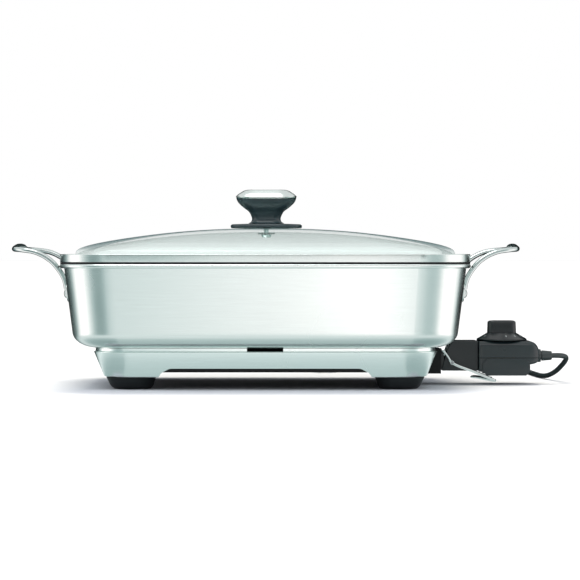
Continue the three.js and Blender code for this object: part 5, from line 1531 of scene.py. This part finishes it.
def level_curve(nodes, value, levels):
    """The level of light at the value, drawn smoothly through the given places and levels."""
    low, high = levels[0][0], levels[-1][0]
    peak = max(level for _, level in levels)
    ranged = nodes.node("ShaderNodeMapRange", From_Min=low, From_Max=high)
    curve = nodes.node("ShaderNodeFloatCurve")
    line = curve.mapping.curves[0]
    line.points[0].location = (0, levels[0][1] / peak)
    line.points[1].location = (1, levels[-1][1] / peak)
    for place, level in levels[1:-1]:
        line.points.new((place - low) / (high - low), level / peak)
    curve.mapping.update()
    nodes.link(value, ranged.inputs["Value"])
    nodes.link(ranged.outputs["Result"], curve.inputs["Value"])
    return nodes.number("MULTIPLY", curve.outputs["Value"], peak)


def graded_glow(name, measure, levels, near=-2, far=-1):
    """A card lit along the levels, which fades to the floor's own light next to the skillet."""
    material = glow(name, 1)
    nodes = Nodes(material.node_tree)
    along, away = measure(nodes)
    fade = nodes.node("ShaderNodeMapRange", From_Min=near, From_Max=far, To_Min=NEAR_LEVEL)
    fade.interpolation_type = "SMOOTHSTEP"
    cool = nodes.node("ShaderNodeMapRange", From_Max=1.3, To_Min=1 - CARD_COOLING, To_Max=WARMEST)
    colour = nodes.node("ShaderNodeCombineColor", Green=1, Blue=1)
    surface = nodes.tree.nodes["Principled BSDF"]
    nodes.link(away, fade.inputs["Value"])
    nodes.link(level_curve(nodes, along, levels), fade.inputs["To Max"])
    nodes.link(fade.outputs["Result"], cool.inputs["Value"])
    nodes.link(cool.outputs["Result"], colour.inputs["Red"])
    nodes.link(colour.outputs["Color"], surface.inputs["Emission Color"])
    nodes.link(fade.outputs["Result"], surface.inputs["Emission Strength"])
    return material


def place_from(nodes, origin):
    """A card's own places, measured from the origin: the vector and its three parts."""
    place = nodes.node("ShaderNodeTexCoord").outputs["Object"]
    moved = nodes.vector("SUBTRACT", place, origin)
    split = nodes.node("ShaderNodeSeparateXYZ")
    nodes.link(moved, split.inputs["Vector"])
    return moved, split.outputs


def corner_aims(side, start, end):
    """A front corner's middle on the floor, then angles round it and the directions they give."""
    middle = Vector((PAN_X + side * CORNER_X, -CORNER_Y, CARD_LIFT))
    angles = [math.radians(start + (end - start) * i / FAN_STEPS) for i in range(FAN_STEPS + 1)]
    return middle, angles, [Vector((side * math.sin(a), -math.cos(a), 0)) for a in angles]


def corner_fan(name, side, levels):
    """A round card on the floor about one front corner of the pan, turned up at its far edge."""
    middle, angles, aims = corner_aims(side, levels[0][0], levels[-1][0])

    def measure(nodes):
        vector, parts = place_from(nodes, middle)
        sideways = nodes.number("MULTIPLY", parts["X"], side)
        forward = nodes.number("MULTIPLY", parts["Y"], -1)
        angle = nodes.number("ARCTAN2", sideways, forward)
        degrees = nodes.number("MULTIPLY", angle, 180 / math.pi)
        return degrees, nodes.vector("LENGTH", vector, result="Value")

    near = [middle + aim * FAN_NEAR for aim in aims]
    far = [middle + aim * FAN_FAR for aim in aims]
    high = [point + Vector((0, 0, FAN_HEIGHT)) for point in far]
    faces = []
    for i in range(FAN_STEPS):
        faces.append((near[i], near[i + 1], far[i + 1], far[i]))
        if angles[i] > FAN_WALL_FROM:
            faces.append((far[i], far[i + 1], high[i + 1], high[i]))
    card(name, faces, graded_glow(name, measure, levels, FAN_NEAR, FAN_FADE))


def floor_face(left, right, near, far, z=CARD_LIFT):
    return ((left, near, z), (right, near, z), (right, far, z), (left, far, z))


def upright_face(left, right, y, low, high):
    return ((left, y, low), (right, y, low), (right, y, high), (left, y, high))


def from_pan(*axes):
    """Measures a card's places from the pan's middle along the named axes."""

    def measure(nodes):
        _, parts = place_from(nodes, (PAN_X, 0, 0))
        return [parts[axis] for axis in axes]

    return measure


def front_card():
    """A floor card in front of the pan that brightens from left to right."""
    face = floor_face(PAN_X - CORNER_X, PAN_X + CORNER_X, FRONT_FAR, FRONT_NEAR)
    glowing = graded_glow("front_card", from_pan("X", "Y"), FRONT_LEVELS, FRONT_NEAR, FRONT_FADE)
    card("front_card", [face], glowing)


def upright_card(name, measures):
    (left, right), y, (low, high), level = measures
    card(name, [upright_face(left, right, y, low, high)], glow(name, level))


def band_card():
    """An upright card in front, brighter to the right, that the lid band reflects."""
    left, right = (PAN_X + level[0] for level in (BAND_CARD_LEVELS[0], BAND_CARD_LEVELS[-1]))
    face = upright_face(left, right, BAND_CARD_Y, *BAND_CARD_HEIGHTS)
    card("band_card", [face], graded_glow("band_card", from_pan("X", "X"), BAND_CARD_LEVELS))


def near_strip():
    """A narrow card on the floor in front of the base, darker towards it."""
    face = floor_face(PAN_X - CORNER_X, PAN_X + CORNER_X, STRIP_LEVELS[0][0], STRIP_LEVELS[-1][0])
    card("near_strip", [face], graded_glow("near_strip", from_pan("Y", "Y"), STRIP_LEVELS))


def near_ring(name, side):
    """The near strip's end, carried round a front corner of the pan."""
    middle, _, aims = corner_aims(side, 0, RING_TURN)

    def measure(nodes):
        reach = nodes.vector("LENGTH", place_from(nodes, middle)[0], result="Value")
        return reach, reach

    near = [middle + aim * RING_LEVELS[0][0] for aim in aims]
    far = [middle + aim * RING_LEVELS[-1][0] for aim in aims]
    faces = [(near[i], near[i + 1], far[i + 1], far[i]) for i in range(FAN_STEPS)]
    card(name, faces, graded_glow(name, measure, RING_LEVELS))


def floor_sun(floor):
    """Broad light from above and behind that reaches only the floor, for the soft shadow in front."""
    data = bpy.data.lights.new("floor_sun", "SUN")
    data.energy = SUN_STRENGTH
    data.color = SUN_COLOUR
    data.angle = SUN_ANGLE
    sun = added("floor_sun", data)
    sun.rotation_euler = (SUN_TILT, 0, 0)
    lit = bpy.data.collections.new("floor_only")
    lit.objects.link(floor)
    sun.light_linking.receiver_collection = lit


def back_card():
    """A dark card low behind the object, which gives polished pieces their dark outlines."""
    (left, right), (near, far), height, level = BACK_CARD
    faces = [floor_face(left, right, near, far), upright_face(left, right, far, CARD_LIFT, height)]
    card("back_card", faces, glow("back_card", level))


def make_studio():
    world = bpy.data.worlds.new("studio")
    world.use_nodes = True
    world.node_tree.nodes["Background"].inputs["Color"].default_value = (1, 1, 1, 1)
    world.node_tree.nodes["Background"].inputs["Strength"].default_value = WORLD_LEVEL
    bpy.context.scene.world = world
    bpy.context.scene.view_settings.view_transform = "Standard"
    mesh = bmesh.new()
    bmesh.ops.create_circle(mesh, cap_ends=True, radius=FLOOR_RADIUS, segments=96)
    data = bpy.data.meshes.new("floor")
    mesh.to_mesh(data)
    mesh.free()
    floor = added("floor", data)
    data.materials.append(Shader("white_floor", FLOOR_SHADE, 1.0, Specular_IOR_Level=0.0).material)
    floor_sun(floor)
    corner_fan("left_fan", -1, LEFT_LEVELS)
    corner_fan("right_fan", 1, RIGHT_LEVELS)
    front_card()
    near_strip()
    near_ring("left_ring", -1)
    near_ring("right_ring", 1)
    band_card()
    upright_card("front_upper", FRONT_UPPER)
    upright_card("softbox", SOFTBOX)
    back_card()
    key_light()


make_camera()
cord = make_cord()
relief = make_strain_relief()
tie = make_cord_tie()
plug = make_plug()

make_pan()
for side, name in ((-1, "left"), (1, "right")):
    make_handle(side, name)
    make_rivet(side, -1, f"{name}_handle_front_rivet")
    make_rivet(side, 1, f"{name}_handle_rear_rivet")

make_glass()
make_band()
make_gasket()
make_gap_shade_lip()
make_knob_base()
make_knob_body()
make_knob_cap()

make_skirt()
for side_y, depth in ((-1, "front"), (1, "rear")):
    for side_x, name in ((-1, "left"), (1, "right")):
        make_foot(side_x, side_y, f"{depth}_{name}_foot")
make_shroud()

make_neck()
make_upper_housing()
make_lower_housing()
make_dial()
make_dial_marks()
make_lever()

finish_cad_nodes()
make_studio()
